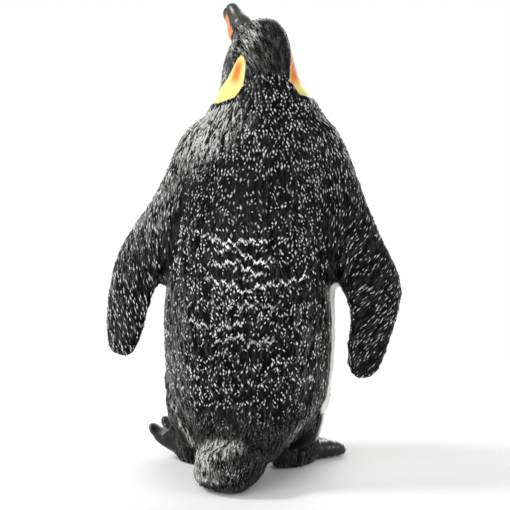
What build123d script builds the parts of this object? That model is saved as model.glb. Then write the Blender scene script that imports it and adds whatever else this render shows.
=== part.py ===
from build123d import *

import os
from collections import namedtuple
from math import cos, pi, radians, sin, sqrt, tan

# Standing penguin figurine: a hollow moulded figure, cemented together from separate pieces.
# Millimetres, +Z up. The bird faces -Y and its own left side is +X.
# The origin is the centre of the bounding box, on the surface that the figure stands on.

# Walls and fits
WALL = 2.4
GLUE_GAP = 0.1
SPLIT_Y = -2.0
SEAM_REACH = 200.0

# Trunk: level rings from the underside up, the neck's shared by trunk and head
Ring = namedtuple("Ring", "z x y half_width front back turn", defaults=(0.0,))
BODY_RINGS = (
    Ring(5.5, 0.0, 0.0, 5.0, 6.0, 7.0),
    Ring(8.0, 0.0, 0.0, 10.5, 11.0, 11.5),
    Ring(13.5, 0.0, 0.0, 14.7, 14.8, 14.6),
    Ring(22.0, 0.0, 0.0, 16.5, 17.2, 16.2),
    Ring(33.0, 0.0, 0.0, 16.7, 18.2, 16.8),
    Ring(45.0, -0.4, 0.0, 16.8, 17.6, 16.6),
    Ring(55.0, -1.4, -0.3, 16.2, 15.9, 15.0),
)
NECK_RINGS = (
    Ring(62.0, -2.1, -0.8, 14.9, 13.8, 12.8),
    Ring(68.0, -2.7, -1.4, 12.8, 11.8, 10.6),
    Ring(73.0, -2.8, -1.9, 9.6, 10.4, 8.8, 10.0),
    Ring(78.0, -2.1, -2.2, 7.1, 10.0, 7.2, 26.0),
    Ring(82.5, -2.3, -2.2, 5.6, 8.8, 5.9, 36.0),
)
CROWN_RINGS = (
    Ring(85.7, -2.6, -2.2, 4.4, 6.2, 4.5, 36.0),
    Ring(88.0, -2.8, -2.2, 2.9, 3.8, 2.8, 36.0),
    Ring(88.9, -2.9, -2.2, 1.2, 1.5, 1.1, 36.0),
)
TRUNK_RINGS = BODY_RINGS + NECK_RINGS + CROWN_RINGS[:1]
HEAD_RINGS = BODY_RINGS[-1:] + NECK_RINGS + CROWN_RINGS
RING_POINTS = 12

# Head and bill
COLLAR_Z = 75.5
COLLAR_TILT = 36.0
SPIGOT_RADIUS = 4.2
SPIGOT_FLAT = 2.8
SPIGOT_LENGTH = 6.0
HEAD_TURN = 36.0
SKULL_CENTRE = (-2.5, -2.2, 82.6)
FACE_HEIGHT = 8.0
FACE_WIDTH = 7.6
BILL_ROOT = (2.0, -7.6, 85.5)
BILL_LIFT = 40.0
BILL_LENGTH = 7.0
BILL_HEIGHT = 5.6
BILL_WIDTH = 4.8
BILL_TIP_HEIGHT = 3.0
BILL_TIP_WIDTH = 2.5
BILL_DROOP = 0.25
BILL_PEG_RADIUS = 1.1
BILL_PEG_LENGTH = 3.0
EYE_RADIUS = 1.15
EYE_PROUD = 0.45
EYE_SPREAD = 66.0
EYE_Z = 85.4

# Flippers: level blade sections from the shoulder down to the tip
Blade = namedtuple("Blade", "z inner outer y thickness")
LEFT_BLADES = (
    Blade(70.5, 2.5, 6.5, 0.5, 4.0),
    Blade(68.0, 3.5, 10.5, 0.6, 7.4),
    Blade(64.0, 5.5, 13.0, 0.8, 8.2),
    Blade(58.0, 8.4, 15.4, 0.9, 8.0),
    Blade(52.0, 11.0, 20.2, 1.0, 7.0),
    Blade(46.0, 13.2, 24.3, 0.8, 5.8),
    Blade(41.0, 15.4, 26.8, 0.5, 5.0),
    Blade(37.0, 17.8, 27.9, 0.1, 4.5),
    Blade(33.0, 19.4, 28.5, -0.4, 4.0),
    Blade(28.5, 20.7, 28.9, -0.8, 3.4),
    Blade(24.4, 22.2, 28.7, -1.0, 2.8),
    Blade(22.2, 24.5, 27.5, -1.0, 1.4),
)
RIGHT_BLADES = (
    Blade(71.0, -7.5, -11.5, 0.5, 4.0),
    Blade(68.5, -8.5, -15.9, 0.6, 7.4),
    Blade(64.5, -10.0, -18.1, 0.8, 8.4),
    Blade(58.0, -12.5, -20.9, 0.9, 8.2),
    Blade(51.0, -14.0, -23.8, 1.0, 7.0),
    Blade(44.0, -15.4, -27.0, 0.8, 5.8),
    Blade(39.0, -17.0, -29.2, 0.5, 5.0),
    Blade(35.0, -19.0, -29.7, 0.2, 4.5),
    Blade(31.0, -19.7, -29.1, 0.0, 4.0),
    Blade(26.0, -19.3, -27.6, -0.4, 3.5),
    Blade(21.2, -19.4, -26.0, -0.6, 2.8),
    Blade(18.6, -21.2, -24.0, -0.6, 1.4),
)
LEFT_SWEEP = 42.0
RIGHT_SWEEP = 25.0
LEFT_ARMPIT = (16.8, 37.5)
LEFT_SEAM_LEAN = 13.9
RIGHT_ARMPIT = (-17.0, 36.5)
RIGHT_SEAM_LEAN = 5.2
SHOULDER_PEG_RISE = 16.0
SHOULDER_PEG_Y = 3.0
SHOULDER_PEG_LENGTH = 9.0
SHOULDER_PEG_WIDTH = 3.6
SHOULDER_PEG_DEPTH = 4.5

# Legs: level rings from the thigh down to the ankle, as on the left side
LEG_RINGS = (
    Ring(21.0, 8.6, -2.5, 5.2, 6.4, 7.0),
    Ring(15.5, 9.4, -3.0, 6.0, 8.4, 8.4),
    Ring(10.5, 9.5, -3.4, 5.9, 8.2, 8.2),
    Ring(6.5, 9.3, -3.8, 5.2, 6.8, 7.0),
    Ring(3.0, 9.2, -4.0, 4.2, 5.0, 5.4),
)
LEFT_LEG_OUT = 1.2
RIGHT_LEG_OUT = -0.7
HIP = (16.5, 17.0)
HIP_SEAM_LEAN = 46.0
HIP_PEG_DROP = 9.5
HIP_PEG_Y = -6.5
HIP_PEG_RADIUS = 1.8
HIP_PEG_DEPTH = 4.2
HIP_PEG_ROOT = 4.0

# Feet: three webbed toes with claws
ANKLE = (9.2, -4.0)
ANKLE_Z = 4.4
ANKLE_PEG_RADIUS = 1.5
ANKLE_PEG_DEPTH = 3.0
LEFT_FOOT_HEADING = 52.0
RIGHT_FOOT_HEADING = 32.0
LEFT_FOOT_LIFT = 28.0
RIGHT_FOOT_LIFT = 0.0
TOE_SPREAD = 23.0
TOE_LENGTH = 11.8
TOE_RADIUS = 1.7
HEEL_HALF_WIDTH = 4.0
HEEL_HALF_LENGTH = 6.0
CLAW_LENGTH = 1.9
CLAW_RADIUS = 0.75
WEB_THICKNESS = 1.4
WEB_LENGTH = 10.4

# Tail: level rings from the lower back down to the resting face
TAIL_RINGS = (
    Ring(26.0, 0.0, 4.0, 10.0, 8.0, 8.8),
    Ring(20.0, 0.1, 5.5, 10.8, 8.5, 9.3),
    Ring(16.0, 0.3, 7.0, 10.6, 8.5, 9.0),
    Ring(12.5, 0.6, 8.5, 9.6, 8.5, 9.0),
    Ring(8.5, 0.9, 10.5, 8.8, 8.5, 9.4),
    Ring(4.5, 1.3, 12.0, 8.0, 8.0, 8.9),
    Ring(1.5, 1.4, 12.5, 7.2, 7.0, 7.9),
    Ring(0.0, 1.4, 12.5, 5.8, 5.5, 6.6),
)
TAIL_CREASE = (15.2, 12.8)
TAIL_SEAM_LEAN = 43.0
TAIL_PEG_DROP = 6.0
TAIL_PEG_LENGTH = 7.0
TAIL_PEG_WIDTH = 3.0
TAIL_PEG_DEPTH = 4.2

# Locating pins between the two trunk shells, each as x and z
PIN_RADIUS = 1.2
PIN_LENGTH = 3.0
BOSS_RADIUS = 2.6
BOSS_LENGTH = 5.0
PIN_PLACES = ((12.6, 26.0), (-12.6, 26.0), (12.6, 44.0), (-13.9, 44.0))


def closed_face(points):
    """Flat face inside one smooth closed curve through the points."""
    return Face(Wire([Spline(*points, periodic=True)]))


def ring_face(ring, inset=0.0):
    """Egg-shaped level section, drawn in by inset all round and turned about its own centre."""
    turn = radians(ring.turn)
    points = []
    for step in range(RING_POINTS):
        angle = 2 * pi * step / RING_POINTS + turn
        across = (ring.half_width - inset) * sin(angle)
        depth = ring.back if cos(angle) > 0 else ring.front
        along = (depth - inset) * cos(angle)
        x = ring.x + across * cos(turn) - along * sin(turn)
        y = ring.y + across * sin(turn) + along * cos(turn)
        points.append((x, y, ring.z))
    return closed_face(points)


def ring_form(rings, inset=0.0):
    """Smooth solid through a stack of rings, leaving out any ring that the inset uses up."""
    kept = [ring for ring in rings if ring.half_width > 2 * inset]
    return loft([ring_face(ring, inset) for ring in kept])


def blade_face(blade, sweep):
    """Level section of a flipper: an ellipse whose outer edge is swept forward by the angle."""
    middle = (blade.inner + blade.outer) / 2
    half_span = abs(blade.outer - blade.inner) / 2
    half_thick = blade.thickness / 2
    slope = radians(sweep)
    half_chord = sqrt(max(half_span**2 - (half_thick * sin(slope)) ** 2, half_thick**2)) / cos(slope)
    outward = 1 if middle > 0 else -1
    points = []
    for step in range(RING_POINTS):
        angle = 2 * pi * step / RING_POINTS
        chord = half_chord * cos(angle)
        thick = half_thick * sin(angle)
        x = middle + outward * (chord * cos(slope) + thick * sin(slope))
        y = blade.y - chord * sin(slope) + thick * cos(slope)
        points.append((x, y, blade.z))
    return closed_face(points)


def flipper_form(blades, sweep):
    """Whole flipper, with its root running on inside the shoulder."""
    return loft([blade_face(blade, sweep) for blade in blades])


def beyond(plane):
    """Everything on the side of the plane that its normal points to."""
    return plane * Pos(0, 0, SEAM_REACH / 2) * Box(SEAM_REACH, SEAM_REACH, SEAM_REACH)


def peel(stock, plane):
    """Cuts the stock at a seam and returns the piece beyond it and the rest."""
    side = beyond(plane)
    return stock & side, stock - side


def round_peg(radius, depth, root=0.0):
    """Round peg along -Z, with a root that runs back into its own piece."""
    return Pos(0, 0, (root - depth) / 2) * Cylinder(radius, depth + root)


def slot_peg(length, width, depth):
    """Oblong peg along -Z, which can't turn in its socket."""
    size = max(length, width), min(length, width)
    return extrude(SlotOverall(*size, rotation=0 if length > width else 90), -depth)


def keyed_peg(radius, flat, depth):
    """Round peg along -Z with one flat side, which can't turn in its socket."""
    key = Pos(0, flat + radius, -depth / 2) * Box(4 * radius, 2 * radius, 2 * depth)
    return round_peg(radius, depth) - key


def collar_plane():
    """Seam between head and trunk, higher at the nape than at the throat."""
    tilt = radians(COLLAR_TILT)
    rise = COLLAR_Z + SKULL_CENTRE[1] * tan(tilt)
    centre = (SKULL_CENTRE[0], SKULL_CENTRE[1], rise)
    return Plane(centre, x_dir=(1, 0, 0), z_dir=(0, -sin(tilt), cos(tilt)))


def shoulder_plane(armpit, lean, outward):
    """Seam at a shoulder through the armpit (x, z), leaning in towards the top."""
    tilt = radians(lean)
    return Plane(
        (armpit[0], 0, armpit[1]), x_dir=(0, outward, 0), z_dir=(outward * cos(tilt), 0, sin(tilt))
    )


def hip_plane(outward):
    """Seam over a thigh, running in and down from the hip."""
    tilt = radians(HIP_SEAM_LEAN)
    return Plane(
        (outward * HIP[0], 0, HIP[1]), x_dir=(0, outward, 0), z_dir=(outward * sin(tilt), 0, -cos(tilt))
    )


def tail_plane():
    """Seam at the tail's root, running forward and down from the crease in the back."""
    tilt = radians(TAIL_SEAM_LEAN)
    return Plane((0, *TAIL_CREASE), x_dir=(-1, 0, 0), z_dir=(0, sin(tilt), -cos(tilt)))


def bill_plane(along):
    """Plane across the bill, a distance along from its root, with its x to the bird's left."""
    heading, lift = radians(HEAD_TURN), radians(BILL_LIFT)
    ahead = Vector(sin(heading) * cos(lift), -cos(heading) * cos(lift), sin(lift))
    left = Vector(cos(heading), sin(heading), 0)
    return Plane(Vector(*BILL_ROOT) + ahead * along, x_dir=left, z_dir=ahead)


def oval(plane, width, height, drop=0.0):
    """Oval section on a plane, lowered by drop."""
    return plane * Pos(0, -drop) * Ellipse(width / 2, height / 2)


def bill_form():
    """Closed bill, tapering and drooping a little towards a blunt tip."""
    shares = ((0.0, 0.0, 1.0), (0.4, 0.1, 0.66), (0.75, 0.45, 0.3), (0.94, 0.85, 0.05), (1.0, 1.0, -0.5))
    sections = []
    for along, droop, girth in shares:
        width = BILL_TIP_WIDTH + (BILL_WIDTH - BILL_TIP_WIDTH) * girth
        height = BILL_TIP_HEIGHT + (BILL_HEIGHT - BILL_TIP_HEIGHT) * girth
        sections.append(oval(bill_plane(BILL_LENGTH * along), width, height, BILL_DROOP * droop))
    return loft(sections)


def face_form():
    """Feathered face, drawing in from the skull to the root of the bill."""
    skull, root = Vector(*SKULL_CENTRE), Vector(*BILL_ROOT)
    left = Vector(cos(radians(HEAD_TURN)), sin(radians(HEAD_TURN)), 0)
    inner = Plane(skull, x_dir=left, z_dir=root - skull)
    middle = Plane(skull + (root - skull) * 0.6, x_dir=left, z_dir=root - skull)
    return loft(
        [
            oval(inner, FACE_WIDTH, FACE_HEIGHT),
            oval(middle, (FACE_WIDTH + BILL_WIDTH) / 2, (FACE_HEIGHT + BILL_HEIGHT) / 2),
            oval(bill_plane(0), BILL_WIDTH, BILL_HEIGHT),
        ]
    )


def eye_form(head, side):
    """Bead of one eye, sunk into the head's surface. Side is 1 for the bird's left, -1 for its right."""
    heading = radians(HEAD_TURN + side * EYE_SPREAD)
    outward = Vector(sin(heading), -cos(heading), 0)
    middle = Vector(SKULL_CENTRE[0], SKULL_CENTRE[1], EYE_Z)
    hits = [point for point, _ in head.find_intersection_points(Axis(middle, outward))]
    surface = max(hits, key=lambda point: (point - middle).dot(outward))
    sunk = Plane(surface - outward * (EYE_RADIUS - EYE_PROUD), x_dir=(0, 0, 1), z_dir=outward)
    return sunk * Sphere(EYE_RADIUS)


def toe_form():
    """One toe with its knuckle and claw, along +Y from the ankle."""
    stations = ((0.0, 1.15), (0.4, 0.95), (0.62, 1.1), (0.85, 0.95), (1.0, 0.65))
    sections = []
    for along, girth in stations:
        radius = TOE_RADIUS * girth
        level = Plane((0, TOE_LENGTH * along, radius), x_dir=(1, 0, 0), z_dir=(0, 1, 0))
        sections.append(level * Circle(radius))
    claw_root = Plane((0, TOE_LENGTH * 0.92, TOE_RADIUS * 0.8), x_dir=(1, 0, 0), z_dir=(0, 1, -0.2))
    claw_tip = claw_root.offset(CLAW_LENGTH)
    claw = loft([claw_root * Circle(CLAW_RADIUS), claw_tip * Circle(CLAW_RADIUS * 0.3)])
    return loft(sections) + claw


def web_form():
    """Thin web between the three toes, with a hollow front edge on each side."""
    spread = radians(TOE_SPREAD)
    outer = (sin(spread) * WEB_LENGTH, cos(spread) * WEB_LENGTH)
    hollow = (sin(spread / 2) * WEB_LENGTH * 0.86, cos(spread / 2) * WEB_LENGTH * 0.86)
    middle = (0, WEB_LENGTH)
    edges = [
        Line((0, 0), outer),
        ThreePointArc(outer, hollow, middle),
        ThreePointArc(middle, (-hollow[0], hollow[1]), (-outer[0], outer[1])),
        Line((-outer[0], outer[1]), (0, 0)),
    ]
    return extrude(Face(Wire(edges)), WEB_THICKNESS)


def foot_form(outward, out_shift, heading, lift):
    """Whole foot under its ankle, turned outward by the heading and raised at the toes."""
    heel_girths = ((0.0, 0.8), (0.25, 0.98), (0.7, 1.04), (1.0, 1.0))
    foot = loft(
        [
            Pos(0, 0, ANKLE_Z * rise) * Ellipse(HEEL_HALF_WIDTH * girth, HEEL_HALF_LENGTH * girth)
            for rise, girth in heel_girths
        ]
    )
    for angle in (-TOE_SPREAD, 0, TOE_SPREAD):
        foot += Rot(lift, 0, 0) * Rot(0, 0, angle) * toe_form()
    foot += Rot(lift, 0, 0) * web_form()
    place = Pos(outward * (ANKLE[0] + out_shift), ANKLE[1], 0)
    return place * Rot(0, 0, 180 + outward * heading) * foot - beyond(-Plane.XY)


def leg_form(outward, out_shift):
    """Feathered leg from the thigh to the ankle, on the given side."""
    leg = Pos(out_shift, 0, 0) * ring_form(LEG_RINGS)
    return leg if outward > 0 else mirror(leg, about=Plane.YZ)


def cavity_form(seams):
    """Hollow of the trunk, a wall's thickness inside its surface and its seams, clear of the bosses."""
    cavity = ring_form(TRUNK_RINGS, WALL)
    for seam in (*seams, -Plane.XY.offset(TRUNK_RINGS[0].z)):
        cavity -= beyond(seam.offset(-WALL))
    for x, z in PIN_PLACES:
        cavity -= pin_form(x, z, BOSS_RADIUS, BOSS_LENGTH, BOSS_LENGTH)
    return cavity


def pin_form(x, z, radius, ahead, behind):
    """Round bar across the trunk's split, reaching ahead to the front and behind to the back."""
    middle = SPLIT_Y + (behind - ahead) / 2
    return Pos(x, middle, z) * Rot(90, 0, 0) * Cylinder(radius, ahead + behind)


def leg_peg(outward, gap=0.0):
    """Round peg from a leg up into the trunk, or its socket when there is a gap."""
    spot = hip_plane(outward) * Pos(HIP_PEG_Y * outward, -HIP_PEG_DROP, 0)
    return spot * round_peg(HIP_PEG_RADIUS + gap, HIP_PEG_DEPTH + gap, HIP_PEG_ROOT)


def foot_peg(outward, out_shift, gap=0.0):
    """Round peg from a leg down into its foot, or its socket when there is a gap."""
    spot = Plane((outward * (ANKLE[0] + out_shift), ANKLE[1], ANKLE_Z))
    return spot * round_peg(ANKLE_PEG_RADIUS + gap, ANKLE_PEG_DEPTH + gap)


def flipper_peg(plane, outward, gap=0.0):
    """Oblong peg from a flipper into the trunk, or its socket when there is a gap."""
    spot = plane * Pos(SHOULDER_PEG_Y * outward, SHOULDER_PEG_RISE, 0)
    return spot * slot_peg(SHOULDER_PEG_WIDTH + 2 * gap, SHOULDER_PEG_LENGTH + 2 * gap, SHOULDER_PEG_DEPTH + gap)


def tail_peg(gap=0.0):
    """Oblong peg from the tail into the trunk, or its socket when there is a gap."""
    spot = tail_plane() * Pos(0, -TAIL_PEG_DROP, 0)
    return spot * slot_peg(TAIL_PEG_LENGTH + 2 * gap, TAIL_PEG_WIDTH + 2 * gap, TAIL_PEG_DEPTH + gap)


def neck_peg(gap=0.0):
    """Keyed spigot from the head into the trunk, or its socket when there is a gap."""
    return collar_plane() * keyed_peg(SPIGOT_RADIUS + gap, SPIGOT_FLAT + gap, SPIGOT_LENGTH + gap)


def bill_peg(gap=0.0):
    """Round peg from the bill into the face, or its socket when there is a gap."""
    return bill_plane(0) * round_peg(BILL_PEG_RADIUS + gap, BILL_PEG_LENGTH + gap)


def build():
    """Makes every piece about the trunk's own axis and returns them by name."""
    collar = collar_plane()
    left_shoulder = shoulder_plane(LEFT_ARMPIT, LEFT_SEAM_LEAN, 1)
    right_shoulder = shoulder_plane(RIGHT_ARMPIT, RIGHT_SEAM_LEAN, -1)
    tail_seam = tail_plane()
    ankle = -Plane.XY.offset(ANKLE_Z)

    # Feathered form below the collar, cut at the shoulders and the tail's root
    stock = ring_form(TRUNK_RINGS) - beyond(collar)
    stock += flipper_form(LEFT_BLADES, LEFT_SWEEP)
    stock += flipper_form(RIGHT_BLADES, RIGHT_SWEEP)
    stock += ring_form(TAIL_RINGS)
    left_leg = leg_form(1, LEFT_LEG_OUT) - stock
    right_leg = leg_form(-1, RIGHT_LEG_OUT) - stock
    left_flipper, stock = peel(stock, left_shoulder)
    right_flipper, stock = peel(stock, right_shoulder)
    tail, torso = peel(stock, tail_seam)

    # Feet, and the legs that stand on them
    left_foot = foot_form(1, LEFT_LEG_OUT, LEFT_FOOT_HEADING, LEFT_FOOT_LIFT)
    right_foot = foot_form(-1, RIGHT_LEG_OUT, RIGHT_FOOT_HEADING, RIGHT_FOOT_LIFT)
    left_leg = left_leg - beyond(ankle) - left_foot
    right_leg = right_leg - beyond(ankle) - right_foot

    # Head with its bill and eyes
    head = (ring_form(HEAD_RINGS) & beyond(collar)) + face_form()
    bill = bill_form()
    left_eye, right_eye = eye_form(head, 1), eye_form(head, -1)
    head = head - left_eye - right_eye

    # Hollow trunk with its sockets, split into a back and a belly
    torso -= cavity_form((collar, left_shoulder, right_shoulder, tail_seam, hip_plane(1), hip_plane(-1)))
    sockets = (
        neck_peg(GLUE_GAP),
        flipper_peg(left_shoulder, 1, GLUE_GAP),
        flipper_peg(right_shoulder, -1, GLUE_GAP),
        leg_peg(1, GLUE_GAP),
        leg_peg(-1, GLUE_GAP),
        tail_peg(GLUE_GAP),
    )
    for socket in sockets:
        torso -= socket
    back_shell, belly_shell = peel(torso, Plane((0, SPLIT_Y, 0), x_dir=(1, 0, 0), z_dir=(0, 1, 0)))
    for x, z in PIN_PLACES:
        belly_shell += pin_form(x, z, PIN_RADIUS, BOSS_LENGTH, PIN_LENGTH)
        back_shell -= pin_form(x, z, PIN_RADIUS + GLUE_GAP, 0, PIN_LENGTH + GLUE_GAP)

    return {
        "back_shell": back_shell,
        "belly_shell": belly_shell,
        "head": head + neck_peg() - bill_peg(GLUE_GAP),
        "bill": bill + bill_peg(),
        "left_eye": left_eye,
        "right_eye": right_eye,
        "left_flipper": left_flipper + flipper_peg(left_shoulder, 1),
        "right_flipper": right_flipper + flipper_peg(right_shoulder, -1),
        "left_leg": left_leg + leg_peg(1) + foot_peg(1, LEFT_LEG_OUT),
        "right_leg": right_leg + leg_peg(-1) + foot_peg(-1, RIGHT_LEG_OUT),
        "left_foot": left_foot - foot_peg(1, LEFT_LEG_OUT, GLUE_GAP),
        "right_foot": right_foot - foot_peg(-1, RIGHT_LEG_OUT, GLUE_GAP),
        "tail": tail + tail_peg(),
    }


pieces = build()
boxes = [piece.bounding_box() for piece in pieces.values()]
middle_x = (min(box.min.X for box in boxes) + max(box.max.X for box in boxes)) / 2
middle_y = (min(box.min.Y for box in boxes) + max(box.max.Y for box in boxes)) / 2
bottom = min(box.min.Z for box in boxes)
os.makedirs("parts", exist_ok=True)
for name, piece in pieces.items():
    export_step(Pos(-middle_x, -middle_y, -bottom) * piece, f"parts/{name}.step")
print("moved by", -middle_x, -middle_y, -bottom)
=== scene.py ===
"""Looks of a penguin figurine: feather relief, painted feather tips, bill, eyes, feet and studio."""

import logging
import math
from dataclasses import dataclass
from enum import Enum
from typing import Iterable, Optional, Sequence

import bmesh
import bpy
import numpy as np
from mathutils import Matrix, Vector
from mathutils.bvhtree import BVHTree


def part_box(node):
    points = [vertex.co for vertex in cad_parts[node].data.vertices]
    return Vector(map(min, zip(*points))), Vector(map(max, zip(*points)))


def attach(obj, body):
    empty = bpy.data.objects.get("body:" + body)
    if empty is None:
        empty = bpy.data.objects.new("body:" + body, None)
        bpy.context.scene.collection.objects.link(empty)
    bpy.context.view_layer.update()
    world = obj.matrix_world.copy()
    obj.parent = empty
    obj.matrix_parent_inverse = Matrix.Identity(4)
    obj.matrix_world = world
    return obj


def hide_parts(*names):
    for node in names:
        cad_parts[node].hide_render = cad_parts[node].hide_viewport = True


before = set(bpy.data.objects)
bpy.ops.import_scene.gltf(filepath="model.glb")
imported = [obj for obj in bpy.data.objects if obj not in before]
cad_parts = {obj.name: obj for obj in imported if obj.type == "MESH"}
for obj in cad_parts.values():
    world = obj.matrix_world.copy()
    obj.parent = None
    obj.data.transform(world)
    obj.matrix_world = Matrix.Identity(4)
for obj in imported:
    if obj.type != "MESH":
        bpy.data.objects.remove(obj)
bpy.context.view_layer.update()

Array = np.ndarray
Mesh = bpy.types.Mesh
Object = bpy.types.Object
Material = bpy.types.Material
Socket = bpy.types.NodeSocket
Pair = tuple[float, float]
Triple = tuple[float, float, float]

MM = 0.001
DOWN = np.array([0.0, 0.0, -1.0])
log = logging.getLogger("penguin")


class Side(Enum):
    """The bird's own sides, with the sign of x on each."""

    LEFT = 1
    RIGHT = -1

    @property
    def label(self) -> str:
        """The side as the pieces' names have it."""
        return self.name.lower()


class Coat(Enum):
    """Names of the attributes that carry the painted coat from vertex to shader."""

    FLOW = "flow"
    GAIN = "relief_gain"
    RELIEF = "relief"
    WHITE = "white_paint"
    YELLOW = "yellow_paint"
    ORANGE = "orange_paint"
    # White brushed on the feather tips, raised in places into painted sheen on lit surfaces.
    BRUSH = "brush_paint"
    # Pale paint worked into the relief, partly painted sheen where the coat faces the key light and a
    # painted highlight along the hems over the legs.
    RUB = "rubbed_paint"
    TIPS = "tip_density"
    STREAKS = "streak_density"
    TIP_PAINT = "tip_paint"
    CREST = "tip_crest"
    OUTWARD = "tip_outward"
    SEAM = "seam_face"
    SWAY = "tip_sway"


class Horn(Enum):
    """Names of the attributes that carry the paint of bill and feet."""

    PLATE = "plate_paint"
    GAPE = "gape_paint"
    CLAW = "claw_paint"
    GLOSS = "scale_gloss"


def smooth(low: float, high: float, values: Array) -> Array:
    """Smooth step from 0 at low to 1 at high, which may be the smaller one.

    Args:
        low: Value where the step starts.
        high: Value where the step ends.
        values: Values to grade.

    Returns:
        Grades from 0 to 1.
    """
    share = np.clip((values - low) / (high - low), 0.0, 1.0)
    return share * share * (3.0 - 2.0 * share)


def bell(values: Array, middle: float, width: float) -> Array:
    """Bell curve of values, 1 at its middle."""
    return np.exp(-((values - middle) / width) ** 2)


def spot(own: Array, x: float, z: float, wide: float, tall: float) -> Array:
    """Soft oval spot across and up the figure, 1 in its middle."""
    return np.exp(-(((own[:, 0] - x) / wide) ** 2 + ((own[:, 2] - z) / tall) ** 2))


def unit(vectors: Array) -> Array:
    """Vectors scaled to a length of 1."""
    return vectors / np.maximum(np.linalg.norm(vectors, axis=1, keepdims=True), 1e-9)


def facing(outward: Array, x: float, y: float, z: float) -> Array:
    """How far normals face a direction, from -1 to 1."""
    return outward @ unit(np.array([[x, y, z]]))[0]


def led(field: Array, aim: Array, share: Array) -> Array:
    """Unit vectors turned towards an aim by a share."""
    return unit(field * (1 - share[:, None]) + aim * share[:, None])


def along_surface(field: Array, outward: Array) -> Array:
    """Unit vectors laid along the surface that has these normals."""
    return unit(field - outward * np.sum(field * outward, axis=1, keepdims=True))


def line_distance(line: Sequence[Pair], points: Array) -> Array:
    """Distance to a flat line of straight runs.

    Args:
        line: Corners of the line.
        points: Points as an array of pairs.

    Returns:
        Distance of each point.
    """
    corners = np.array(line, float)
    nearest = np.full(len(points), np.inf)
    for start, end in zip(corners[:-1], corners[1:]):
        edge = end - start
        offset = points - start
        share = np.clip(offset @ edge / (edge @ edge), 0.0, 1.0)
        nearest = np.minimum(nearest, np.linalg.norm(offset - share[:, None] * edge, axis=1))
    return nearest


def outline_depth(outline: Sequence[Pair], points: Array) -> Array:
    """Signed distance into a flat outline.

    Args:
        outline: Corners of the closed outline.
        points: Points as an array of pairs.

    Returns:
        Distance to the outline's edge, above 0 inside it.
    """
    corners = np.array(outline, float)
    nearest = line_distance([*corners, corners[0]], points)
    inside = np.zeros(len(points), bool)
    for start, end in zip(corners, np.roll(corners, -1, axis=0)):
        rising = (start[1] > points[:, 1]) != (end[1] > points[:, 1])
        drop = end[1] - start[1] or 1e-12
        crossing = start[0] + (points[:, 1] - start[1]) / drop * (end[0] - start[0])
        inside ^= rising & (points[:, 0] < crossing)
    return np.where(inside, nearest, -nearest)


@dataclass(frozen=True)
class Seam:
    """Plane between two pieces, in metres, with its normal towards the outer piece."""

    point: Triple
    normal: Triple

    def depth(self, points: Array) -> Array:
        """Signed distance of points beyond the seam, in millimetres."""
        return (points - np.array(self.point)) @ np.array(self.normal) / MM


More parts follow.
